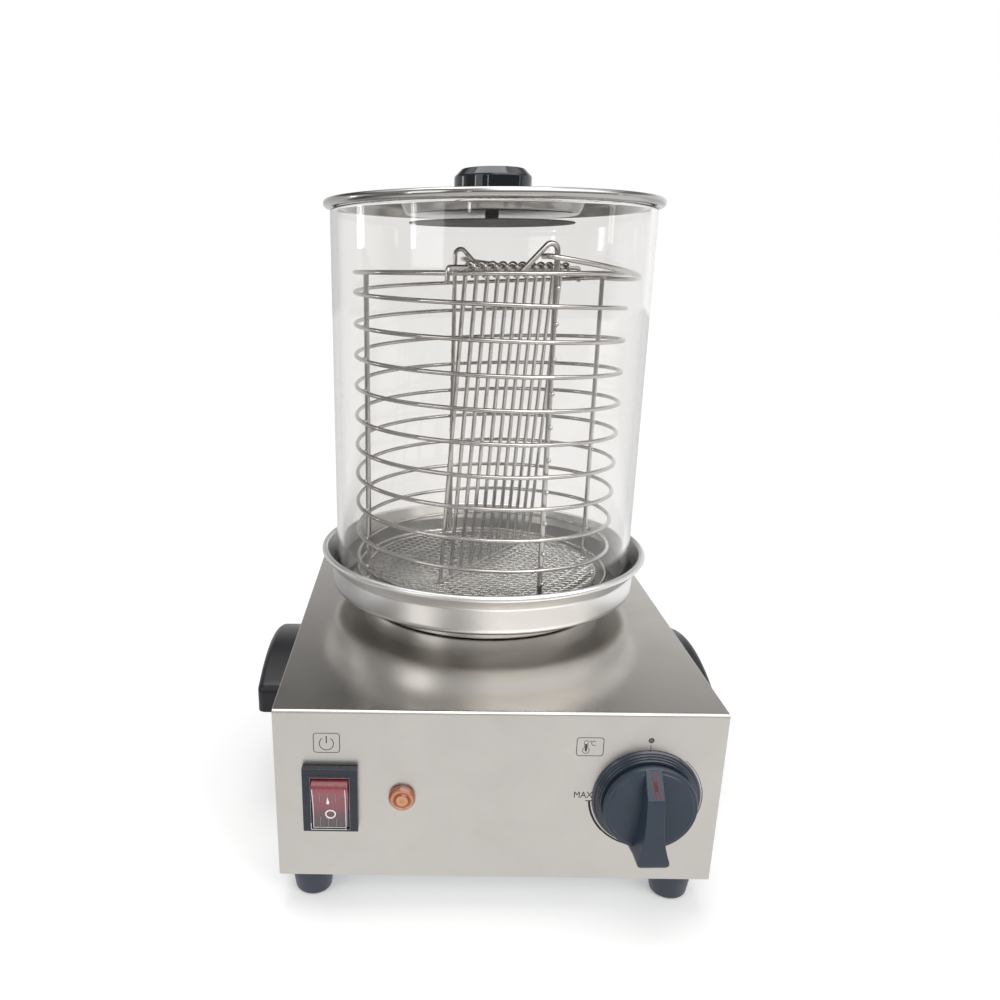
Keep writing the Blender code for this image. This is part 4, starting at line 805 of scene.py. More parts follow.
@dataclass
class Case:
    """The folded steel case with its handles, feet, base plate and cord gland."""

    width: float = 0.2400
    depth: float = 0.3000
    height: float = 0.1030
    bottom: float = 0.0198
    middle: float = 0.00575
    sheet: float = 0.0010
    fold: float = 0.0030
    handle: Point = (0.0265, 0.1080, 0.0282)
    handle_top: float = 0.0978
    handle_arch: float = 0.0110
    handle_round: float = 0.0045
    handle_wall: float = 0.0030
    foot_inset: float = 0.0170
    foot_height: float = 0.0195
    gland: Point = (-0.0700, 0.15575, 0.0498)

    def build(self) -> None:
        """Model and dress every piece of the case."""
        self.wrap()
        for side, name in ((-1, "left_handle"), (1, "right_handle")):
            self.grip(name, side)
        for index in range(4):
            self.foot(index)
        self.cord_gland()
        dress_nodes(TOP_SATIN, "left_side_panel", "right_side_panel")
        dress_nodes(ZINC, "base_plate", *(f"foot_screw_{number}" for number in range(1, 5)))
        dress_nodes(ZINC, *(f"handle_screw_{number}" for number in range(1, 5)))

    def wrap(self) -> None:
        """Fold the front, top and back of the case from one sheet."""
        centre = (0, self.middle, self.bottom + self.height / 2)
        obj = Bench.cube("case_wrap", (self.width, self.depth, self.height), centre)
        Bench.pick(obj, "FACE", lambda face: abs(face.normal.x) > 0.5 or face.normal.z < -0.5)
        bpy.ops.mesh.delete(type="FACE")
        top = self.bottom + self.height - self.sheet
        Bench.pick(
            obj,
            "EDGE",
            lambda edge: len(edge.link_faces) == 2 and all(vert.co.z > top for vert in edge.verts),
        )
        bpy.ops.mesh.bevel(offset=self.fold, segments=12, profile=0.7, affect="EDGES")
        Bench.modify(obj, "SOLIDIFY", thickness=self.sheet, offset=-1, use_even_offset=True)
        Bench.soften(obj, 0.00042)
        Bench.close_up(obj, weigh=True)
        Bench.hand_over(obj, Body.BASE, SATIN, "housing_wrap", "housing_wrap")

    def grip(self, name: str, side: int) -> None:
        """Mould a side handle, arched on top and open underneath.

        Args:
            name: the handle's node, which it replaces.
            side: -1 for the left side and 1 for the right.
        """
        reach, length, height = self.handle
        x = side * (self.width / 2 + FIT + reach / 2)
        obj = Bench.cube(f"{name}_grip", self.handle, (x, self.middle, self.handle_top - height / 2))
        Bench.pick(obj, "FACE", lambda face: face.normal.z < -0.5)
        bpy.ops.mesh.delete(type="ONLY_FACE")
        Bench.pick(obj, "EDGE", lambda edge: abs(edge.verts[0].co.y - edge.verts[1].co.y) > length / 2)
        bpy.ops.mesh.subdivide(number_cuts=15)
        work = bmesh.from_edit_mesh(obj.data)
        for vert in work.verts:
            if vert.co.z > self.handle_top - height / 2:
                vert.co.z -= self.handle_arch * ((vert.co.y - self.middle) * 2 / length) ** 2
        bmesh.update_edit_mesh(obj.data)
        inner = side * (self.width / 2 + FIT)
        Bench.pick(
            obj,
            "EDGE",
            lambda edge: len(edge.link_faces) == 2
            and edge.calc_face_angle() > 0.5
            and not all(abs(vert.co.x - inner) < 0.001 for vert in edge.verts),
        )
        bpy.ops.mesh.bevel(offset=self.handle_round, segments=8, profile=0.5, affect="EDGES")
        Bench.modify(obj, "SOLIDIFY", thickness=self.handle_wall, offset=-1, use_even_offset=True)
        Bench.soften(obj, 0.0006, 60.0)
        Bench.close_up(obj, weigh=True)
        Bench.hand_over(obj, Body.BASE, BLACK, name, name)

    def foot(self, index: int) -> None:
        """Turn one foot, with its lip, its taper and the well of its screw.

        Args:
            index: 0 to 3, from the front left to the back right.
        """
        x = (self.width / 2 - self.foot_inset) * (1 if index % 2 else -1)
        y = self.middle + (self.depth / 2 - self.foot_inset) * (1 if index > 1 else -1)
        high = self.foot_height
        section = rounded(
            [
                (0.0023, high), (0.0130, high), (0.0130, high - 0.0030), (0.0124, high - 0.0036),
                (0.0102, 0.0), (0.0050, 0.0), (0.0050, 0.0120), (0.0023, 0.0120),
            ],
            (0.0006, 0.0004, 0.0, 0.0028, 0.0006, 0.0),
            5,
        )
        obj = Bench.turned(f"foot_{index + 1}_rubber", section, (x, y, 0.0), 64, loop=True)
        Bench.hand_over(obj, Body.BASE, RUBBER, f"foot_{index + 1}", f"foot_{index + 1}")

    def cord_gland(self) -> None:
        """Turn the gland of the mains cord, with a ribbed grip."""
        ribs = []
        for step in range(4):
            reach = 0.0085 - step * 0.0013
            ribs += [(0.0080, reach), (0.0080, reach - 0.0006)]
            ribs += [(0.0075, reach - 0.0008), (0.0075, reach - 0.0012)]
        section = [(0.0062, 0.0120), (0.0068, 0.0116), (0.0080, 0.0090), *ribs, (0.0080, 0.0032)]
        section += [(0.0106, 0.0030), (0.0110, 0.0026), (0.0110, 0.0003), (0.0080, 0.0003), (0.0080, -0.0013)]
        section += [(0.0110, -0.0013), (0.0110, -0.0073), (0.0036, -0.0073)]
        section += [(0.0036, 0.0116), (0.0040, 0.0120)]
        obj = Bench.turned("cord_gland_grip", section, self.gland, 48, Facing.BACK, loop=True)
        Bench.hand_over(obj, Body.BASE, BLACK, "cord_gland", "cord_gland")


@dataclass
class Controls:
    """The front controls: switch, pilot lamp, thermostat dial and the prints beside them."""

    front: float = -0.14425
    level: float = 0.0723
    frame_level: float = 0.0711
    rocker_level: float = 0.0694
    switch_x: float = -0.0899
    lamp: Point = (-0.0513, -0.14425, 0.0713)
    dial_x: float = 0.0802
    switch: Point = (0.0298, 0.0045, 0.0386)
    switch_body: Point = (0.0262, 0.0220, 0.0336)
    mouth: Flat = (0.0206, 0.0316)
    rocker_width: float = 0.0198
    rocker_radius: float = 0.0157
    heel: float = -0.0030
    crest: float = 0.0070
    valley: float = 0.0046
    tilt: float = math.radians(10)
    dial_turn: float = math.radians(-1.5)
    print_height: float = 0.00012
    print_least: float = 0.0003

    def build(self) -> None:
        """Model and dress every piece of the controls."""
        self.switch_frame()
        self.rocker()
        self.lens()
        self.dial_ring()
        self.knob()
        self.legends()
        dress_nodes(NYLON, "lamp_body", "thermostat_body")
        dress_nodes(BRASS, "thermostat_shaft")

    @property
    def dial(self) -> Point:
        """Return the middle of the dial on the front panel."""
        return (self.dial_x, self.front, self.level)

    def switch_frame(self) -> None:
        """Shape the switch's frame, its mouth and its body, the pale lines painted on it as highlights, and
        its dark seam.
        """
        width, depth, height = self.switch
        back, rim, lip, recess = 0.0020, 0.0012, 0.0001, 0.0125
        centre = (self.switch_x, self.front - FIT - depth / 2, self.frame_level)
        seat = (self.switch_x, self.front, self.rocker_level)
        drop = self.rocker_level - self.frame_level
        obj = Bench.cube("switch_frame", self.switch, centre)
        Bench.pick(obj, "FACE", lambda face: face.normal.y > 0.5)
        bpy.ops.mesh.inset(thickness=back)
        bpy.ops.transform.translate(value=(0, 0, drop))
        body = self.switch_body
        scale = (body[0] / (width - 2 * back), 1, body[2] / (height - 2 * back))
        bpy.ops.transform.resize(value=scale, center_override=seat)
        Bench.extrude((0, body[1] + FIT, 0))
        Bench.pick(obj, "FACE", lambda face: face.normal.y < -0.5)
        bpy.ops.mesh.inset(thickness=rim)
        bpy.ops.transform.translate(value=(0, -FIT, 0))
        bpy.ops.mesh.inset(thickness=lip)
        bpy.ops.transform.translate(value=(0, 0, drop))
        inset = 2 * (rim + lip)
        scale = (self.mouth[0] / (width - inset), 1, self.mouth[1] / (height - inset))
        bpy.ops.transform.resize(value=scale, center_override=seat)
        Bench.extrude((0, recess, 0))
        Bench.soften(obj, 0.0006, 40.0)
        Bench.close_up(obj, weigh=True)
        Bench.hand_over(obj, Body.BASE, FRAME_BLACK, "switch_housing", "switch_housing")
        # Thin pale wires round the mouth and across its foot are painted highlights of the clear cap's edges;
        # the dark line across the top is the frame's seam.
        wide, high = self.mouth[0] / 2 + 0.0002, self.mouth[1] / 2 + 0.0002
        mouth = [(-wide, -high), (wide, -high), (wide, high), (-wide, high)]
        foot = [(-wide, -0.0122), (-wide, -high), (0.0083, -high), (0.0083, -0.0153)]
        reach, rise = width / 2 - 0.0022, height / 2 - 0.0033 - drop
        y = self.front - 2 * FIT - depth
        for name, flat, radius, finish in (
            ("switch_mouth_painted_highlight", mouth, 0.00018, GREY_HIGHLIGHT),
            ("switch_mouth_foot_painted_highlight", foot, 0.00032, PALE_HIGHLIGHT),
            ("switch_frame_seam", [(-reach, rise), (reach, rise)], 0.00018, KNOB_GLOSS),
        ):
            run = [(self.switch_x + x, y, self.rocker_level + z) for x, z in flat]
            line = Bench.wire(name, [run], radius, 8, loop=flat is mouth)
            Bench.hand_over(line, Body.BASE, finish, "switch_housing")

    def dip(self, height: float) -> float:
        """Return how far the rocker's face reaches at a height from its pivot."""
        end = math.sqrt(self.rocker_radius**2 - self.crest**2)
        return self.valley + (self.crest - self.valley) * (height / end) ** 2

    def rocker(self) -> None:
        """Shape the rocker in its off position, with pale lines along its sides and ribs painted as
        highlights, and its two marks.
        """
        first = math.asin(self.heel / self.rocker_radius)
        final = math.asin(self.crest / self.rocker_radius)
        end = self.rocker_radius * math.cos(final)
        curve = [
            (self.rocker_radius * math.sin(turn), self.rocker_radius * math.cos(turn))
            for turn in (first + (final - first) * step / 8 for step in range(9))
        ]
        face = [(self.dip(end * (1 - step / 6)), end * (1 - step / 6)) for step in range(1, 12)]
        outline = curve + face + [(reach, -height) for reach, height in reversed(curve)]
        side = self.rocker_width / 2
        obj = Bench.profile("rocker_button", [(-side, -reach, height) for reach, height in outline])
        Bench.select_all()
        bpy.ops.mesh.edge_face_add()
        Bench.extrude((self.rocker_width, 0, 0))
        Bench.soften(obj, 0.0005, 50.0)
        self.lean(obj, ROCKER_RED_SHADED, "switch_rocker")
        # Pale wires down both sides and grey rib lines on the face are painted highlights of the clear cap;
        # the white I and O are real marks.
        heights = [0.0126 - (0.0126 + end) * step / 9 for step in range(10)]
        rim = [(-side + 0.0006, height) for height in heights]
        rim += [(side - 0.0016, height) for height in reversed(heights)]
        self.mark("rocker_edge_painted_highlight", [rim], 0.00034, PALE_HIGHLIGHT)
        ribs = []
        for x in (-0.0055, -0.0012, 0.0031):
            for low, high in ((0.0018, 0.0094), (-0.0134, -0.0083)):
                ribs.append([(x, low + (high - low) * step / 4) for step in range(5)])
        self.mark("rocker_rib_painted_highlights", ribs, 0.00015, GREY_HIGHLIGHT)
        turns = [math.tau * step / 28 for step in range(28)]
        circle = [(0.0026 * math.cos(turn), -0.0062 + 0.0024 * math.sin(turn)) for turn in turns]
        self.mark("rocker_off_mark", [circle], 0.00040, WHITE_MARK, loop=True)
        bar = [(-0.0012, 0.0052 - 0.0011 * step) for step in range(5)]
        foot, edge = ([(x + aside, height) for x, height in bar[2:]] for aside in (-0.0004, 0.0004))
        self.mark("rocker_on_mark", [bar, foot, edge], 0.00036, WHITE_MARK)

    def mark(
        self,
        name: str,
        runs: Sequence[Sequence[Flat]],
        radius: float,
        finish: Finish,
        loop: bool = False,
    ) -> None:
        """Lay fine raised lines on the rocker's face.

        Args:
            name: the mark's name.
            runs: the (x, height) points of each line, from the rocker's pivot.
            radius: half the width of the lines.
            finish: their finish.
            loop: whether each line closes on itself.
        """
        points = [[(x, -self.dip(height) - 0.0001, height) for x, height in run] for run in runs]
        self.lean(Bench.wire(name, points, radius, 8, loop), finish)

    def lean(self, obj: Thing, finish: Finish, *nodes: str) -> None:
        """Turn a rocker piece about its pivot to the off position and hand it over.

        Args:
            obj: the piece, modelled about the pivot.
            finish: its finish.
            nodes: the model's nodes that it stands for.
        """
        Bench.mode("OBJECT")
        place = (self.switch_x, self.front, self.rocker_level)
        obj.matrix_world = Matrix.Translation(place) @ Matrix.Rotation(self.tilt, 4, "X") @ obj.matrix_world
        Bench.close_up(obj, weigh=bool(nodes))
        Bench.hand_over(obj, Body.ROCKER, finish, "switch_rocker", *nodes)

    def lens(self) -> None:
        """Turn the lamp's lens with its stepped rings."""
        section = rounded(
            [
                (0.0, 0.0050), (0.0034, 0.0046), (0.0040, 0.0037), (0.0047, 0.0037), (0.0052, 0.0042),
                (0.0062, 0.0040), (0.0073, 0.0022), (0.0073, 0.0003), (0.0052, 0.0003),
                (0.0052, -0.0020), (0.0, -0.0020),
            ],
            (0.0004, 0.0002, 0.0002, 0.0005, 0.0006, 0.0008, 0.0, 0.0, 0.0),
            5,
        )
        obj = Bench.turned("lamp_dome", section, self.lamp, 64, Facing.FRONT)
        Bench.hand_over(obj, Body.BASE, AMBER_PAINTED_RINGS, "lamp_lens", "lamp_lens")

    def dial_ring(self) -> None:
        """Turn the dark ring round the dial, with its fine steps."""
        section = rounded(
            [
                (0.0200, 0.0044), (0.0251, 0.0044), (0.0254, 0.0036), (0.0262, 0.0036),
                (0.0265, 0.0026), (0.0273, 0.0026), (0.0277, 0.0017), (0.0284, 0.0019),
                (0.0291, 0.0010), (0.0291, 0.0003), (0.0200, 0.0003),
            ],
            (0.0002, 0.0001, 0.0002, 0.0001, 0.0002, 0.0001, 0.0004, 0.0004, 0.0),
            3,
        )
        obj = Bench.turned("dial_ring", section, self.dial, 128, Facing.FRONT, loop=True)
        Bench.hand_over(obj, Body.BASE, RING_DARK, "dial_bezel", "dial_bezel")

    def knob(self) -> None:
        """Turn the knob's disc, raise its flared grip and lay the red frame on the ramp."""
        section = rounded(
            [
                (0.0, 0.0123), (0.0222, 0.0123), (0.0228, 0.0116), (0.0243, 0.0114), (0.0249, 0.0105),
                (0.0249, 0.0086), (0.0236, 0.0076), (0.0236, 0.0052), (0.0080, 0.0052),
                (0.0080, 0.0012), (0.0, 0.0012),
            ],
            (0.0003, 0.0003, 0.0005, 0.0008, 0.0006, 0.0004, 0.0004, 0.0, 0.0),
            4,
        )
        disc = Bench.turned("knob_disc", section, self.dial, 128, Facing.FRONT)
        Bench.hand_over(disc, Body.DIAL, SLATE, "thermostat_knob", "thermostat_knob")
        rows = [
            (0.0242, 0.0113, 0.0084, 0.0122), (0.0232, 0.0120, 0.0086, 0.0130),
            (0.0170, 0.0163, 0.0090, 0.0140), (0.0116, 0.0201, 0.0091, 0.0146),
            (0.0104, 0.0206, 0.0091, 0.0148), (0.0000, 0.0213, 0.0092, 0.0170),
            (-0.0090, 0.0221, 0.0101, 0.0200), (-0.0160, 0.0227, 0.0122, 0.0218),
            (-0.0210, 0.0231, 0.0146, 0.0206), (-0.0240, 0.0234, 0.0166, 0.0194),
            (-0.0257, 0.0234, 0.0168, 0.0190), (-0.0268, 0.0232, 0.0158, 0.0176),
            (-0.0275, 0.0228, 0.0138, 0.0152), (-0.0279, 0.0222, 0.0110, 0.0120),
        ]
        self.grip(rows)
        corners = ((-0.0018, 0.0224), (0.0003, 0.0226), (0.0018, 0.0127), (-0.0001, 0.0123))
        for name, spread, radius, finish in (
            ("dial_red_frame", 1.0, 0.00020, RED_LINE),
            ("dial_red_heart", 0.40, 0.00036, RED_DARK),
        ):
            middle = Vector((0.00005, 0.0175))
            line = []
            for corner in corners:
                x, height = middle + (Vector(corner) - middle) * spread
                reach = 0.0113 + (0.0242 - height) * 0.0088 / 0.0126
                line.append((self.dial_x + x, self.front - reach - 0.00005, self.level + height))
            red = Bench.wire(name, [line], radius, 8, loop=True)
            Bench.hand_over(red, Body.DIAL, finish, "knob_pointer", "knob_pointer")

    def grip(self, rows: Sequence[tuple[float, float, float, float]]) -> None:
        """Loft the knob's grip, with scooped flanks, from the top of its ramp to the end of its tail.

        Args:
            rows: the height, reach, crest width and root width of each section.
        """

        def section(row: tuple[float, float, float, float]) -> list[Point]:
            """Return the six corners of a section, from one root over the crest to the other."""
            height, reach, crest, foot = row
            root = 0.0092 if height > 0.0180 else 0.0060
            waist, middle = crest + 0.22 * (foot - crest), root + 0.42 * (reach - root)
            half = [(foot / 2, root), (waist / 2, middle), (crest / 2, reach)]
            corners = [(-x, y) for x, y in half] + [(x, y) for x, y in reversed(half)]
            return [(x, -y, height) for x, y in corners]

        corners = section(rows[0])
        obj = Bench.profile("knob_grip", corners)
        Bench.select_all()
        bpy.ops.mesh.edge_face_add()
        for before, after in zip(rows, rows[1:]):
            Bench.extrude((0, 0, after[0] - before[0]))
            work = bmesh.from_edit_mesh(obj.data)
            chosen = [vert for vert in work.verts if vert.select]
            old = section(before)
            for vert in chosen:
                nearest = min(range(6), key=lambda step: (vert.co.xy - Vector(old[step][:2])).length)
                vert.co = section(after)[nearest]
            bmesh.update_edit_mesh(obj.data)
        Bench.soften(obj, 0.0008)
        obj.location = self.dial
        obj.rotation_euler = (0, self.dial_turn, 0)
        Bench.close_up(obj, 50.0, weigh=True)
        Bench.hand_over(obj, Body.DIAL, SLATE, "thermostat_knob")

    def stroke(
        self,
        name: str,
        runs: Sequence[Sequence[Flat]],
        width: float,
        finish: Finish,
        loop: bool = False,
    ) -> None:
        """Print lines on the panel as thin flat strokes.

        Args:
            name: the print's name.
            runs: the (x, height) points of each line.
            width: how wide the lines are.
            finish: the ink.
            loop: whether each line closes on itself.
        """
        points = [[(x, self.front, height) for x, height in run] for run in runs]
        obj = Bench.wire(name, points, width / 2, 8, loop)
        Bench.mode("EDIT")
        Bench.select_all()
        thin = self.print_height / max(width, self.print_least)
        bpy.ops.transform.resize(value=(1, thin, 1), center_override=(0, self.front, 0))
        Bench.close_up(obj)
        Bench.hand_over(obj, Body.BASE, finish, "housing_wrap")

    def legends(self) -> None:
        """Print the power sign, the thermometer sign, the scale of the dial and the word MAX."""
        for name, low, high in (
            ("print_power_box", (-0.0984, 0.0980), (-0.0845, 0.1095)),
            ("print_heat_box", (0.0411, 0.0978), (0.0552, 0.1086)),
        ):
            box = [low, (high[0], low[1]), high, (low[0], high[1])]
            turn = [box[-1], *box, box[0]]
            outline = rounded(turn, (0.0016,) * 4, 5)[1:-1]
            self.stroke(name, [outline], 0.00040, INK, loop=True)
        power, off = (-0.0915, 0.1033), (0.0801, 0.1073)
        self.stroke("print_power_ring", [arc(power, 0.0038, 125, 290, 30)], 0.00044, INK)
        self.stroke("print_power_bar", [[(power[0], 0.1036), (power[0], 0.1078)]], 0.00060, INK)
        self.thermometer()
        self.stroke("print_off_ring", [arc(off, 0.0013)], 0.00050, INK, loop=True)
        self.stroke("print_off_dot", [arc(off, 0.0005)], 0.00120, GREY_INK, loop=True)
        self.stroke("print_off_tick", [[(0.0801, 0.1008), (0.0801, 0.1046)]], 0.00055, GREY_INK)
        self.stroke("print_max_tick", [[(0.0478, 0.0701), (0.0516, 0.0701)]], 0.00055, INK)
        self.scale_arc()
        self.word("MAX", (0.0415, 0.0719), (0.0515, 0.0757))

    def thermometer(self) -> None:
        """Print the thermometer and its degree sign inside the right-hand box."""
        x, bulb = 0.0460, 0.1010
        outline = arc((x, bulb), 0.0018, 120, 300, 20) + arc((x, 0.1060), 0.0009, 0, 180, 8)
        self.stroke("print_thermometer", [outline], 0.00032, INK, loop=True)
        rod = [(x, bulb), (x, 0.1048)]
        drop = [(x - 0.0004, bulb), (x + 0.0004, bulb)]
        self.stroke("print_mercury", [rod, drop], 0.0011, INK)
        self.stroke("print_degree", [arc((0.0482, 0.1064), 0.0004, steps=12)], 0.00026, INK, loop=True)
        self.stroke("print_celsius", [arc((0.0501, 0.1053), 0.0013, 50, 260, 14)], 0.00036, INK)

    def scale_arc(self) -> None:
        """Print the arc of the scale, which grows wider from the top round to MAX."""
        centre = (self.dial_x, self.level)
        runs = []
        for number in range(6):
            span = 1 + 225 * (6 - number) / 6
            runs.append(arc(centre, 0.0300 + 0.00018 * number, 184, span, 40))
        self.stroke("print_scale_arc", runs, 0.00030, INK)

    def word(self, text: str, low: Flat, high: Flat) -> None:
        """Print a word on the panel in thin plain letters that fill a box.

        Args:
            text: the word.
            low: the (x, height) of the box's lower left corner.
            high: the (x, height) of its upper right corner.
        """
        Bench.clear()
        bpy.ops.object.text_add(location=(low[0], self.front, low[1]), rotation=(math.pi / 2, 0, 0))
        obj = bpy.context.object
        obj.data.body = text
        obj.data.size = (high[1] - low[1]) / 0.70
        obj.data.extrude = 0.00006
        bpy.ops.object.convert(target="MESH")
        obj = bpy.context.object
        obj.name = "print_max"
        bpy.ops.object.transform_apply(location=True, rotation=True, scale=True)
        first = [min(vert.co[axis] for vert in obj.data.vertices) for axis in range(3)]
        last = [max(vert.co[axis] for vert in obj.data.vertices) for axis in range(3)]
        Bench.mode("EDIT")
        Bench.select_all()
        bpy.ops.transform.translate(value=(low[0] - first[0], 0, low[1] - first[2]))
        spread = ((high[0] - low[0]) / (last[0] - first[0]), 1, (high[1] - low[1]) / (last[2] - first[2]))
        bpy.ops.transform.resize(value=spread, center_override=(low[0], self.front, low[1]))
        Bench.close_up(obj)
        Bench.hand_over(obj, Body.BASE, INK, "housing_wrap")


@dataclass
class Tower:
    """The water pan, the glass cylinder and the lid with its knob."""

    pan_seat: float = 0.1231
    glass_bottom: float = 0.13599
    glass_top: float = 0.37679
    lid_seat: float = 0.37709

    def build(self) -> None:
        """Model and dress every piece of the tower."""
        self.pan()
        self.glass()
        self.lid()

    def pan(self) -> None:
        """Spin the stepped pan with its flared, rolled rim."""
        floor = self.pan_seat + WALL / 2
        shelf, rim = floor + 0.0108, self.pan_seat + 0.0372
        path = rounded(
            [
                (0.0, floor), (0.0803, floor), (0.0811, shelf), (0.1024, shelf), (0.1032, rim - 0.0085),
                (0.1083, rim),
            ],
            (0.0008, 0.0012, 0.0050, 0.00425),
            8,
        )
        section = sheet_section(path, (0.1083, rim), 0.0022, 20)
        obj = Bench.turned("pan_spun", section, TOWER, 160)
        Bench.hand_over(obj, Body.PAN, SPUN, "water_pan", "water_pan")

    def glass(self) -> None:
        """Turn the glass cylinder with its fire-polished rims."""
        inner, outer = GLASS_RADII
        corners = [
            (inner, (self.glass_top + self.glass_bottom) / 2), (inner, self.glass_top),
            (outer, self.glass_top), (outer, self.glass_bottom), (inner, self.glass_bottom),
            (inner, (self.glass_top + self.glass_bottom) / 2),
        ]
        section = rounded(corners, (0.0018,) * 4, 6)[:-1]
        obj = Bench.turned("glass_wall", section, TOWER, 160, loop=True)
        Bench.hand_over(obj, Body.GLASS, CLEAR, "glass_cylinder", "glass_cylinder")

    def lid(self) -> None:
        """Spin the pressed lid with its groove, crown and dish, and turn its knob."""
        flange = self.lid_seat + WALL / 2
        crown, groove = flange + 0.0050, flange - 0.0012
        dish = crown - 0.0084
        path = rounded(
            [
                (0.0, dish), (0.0530, dish), (0.0575, crown), (0.0880, crown), (0.0916, groove),
                (0.0944, groove), (0.0960, flange), (0.0991, flange),
            ],
            (0.0020, 0.0020, 0.0030, 0.0006, 0.0006, 0.0004),
            7,
        )
        section = sheet_section(path, (0.1016, flange + 0.0021), 0.0025, 24)
        obj = Bench.turned("lid_pressed", section, TOWER, 160)
        Bench.hand_over(obj, Body.LID, LID_STEEL, "lid", "lid")
        low = dish + WALL / 2 + FIT
        top = low + 0.0252
        knob = rounded(
            [
                (0.0, top), (0.0192, top), (0.0237, top - 0.0045), (0.0237, low + 0.0090),
                (0.0130, low + 0.0060), (0.0130, low), (0.0, low),
            ],
            (0.0016, 0.0022, 0.0040, 0.0020, 0.0),
            7,
        )
        handle = Bench.turned("lid_knob_turned", knob, TOWER, 128)
        Bench.hand_over(handle, Body.LID, KNOB_GLOSS, "lid_knob", "lid_knob")
        # A dark disc as wide as the dish, hung under it, paints the shade beneath the lid; its stem stands
        # for the knob's screw.
        seat = dish - WALL / 2
        face = seat - 0.0042
        stem = [(0.0, seat), (0.0042, seat), (0.0042, face)]
        edge = [(0.0512, face), (0.0515, face - 0.0003), (0.0510, face - 0.0007), (0.0, face - 0.0007)]
        plate = Bench.turned("lid_painted_shade_disc", [*stem, *edge], TOWER, 96)
        Bench.hand_over(plate, Body.LID, SHADE_DISC, "lid_knob_screw", "lid_knob_screw")


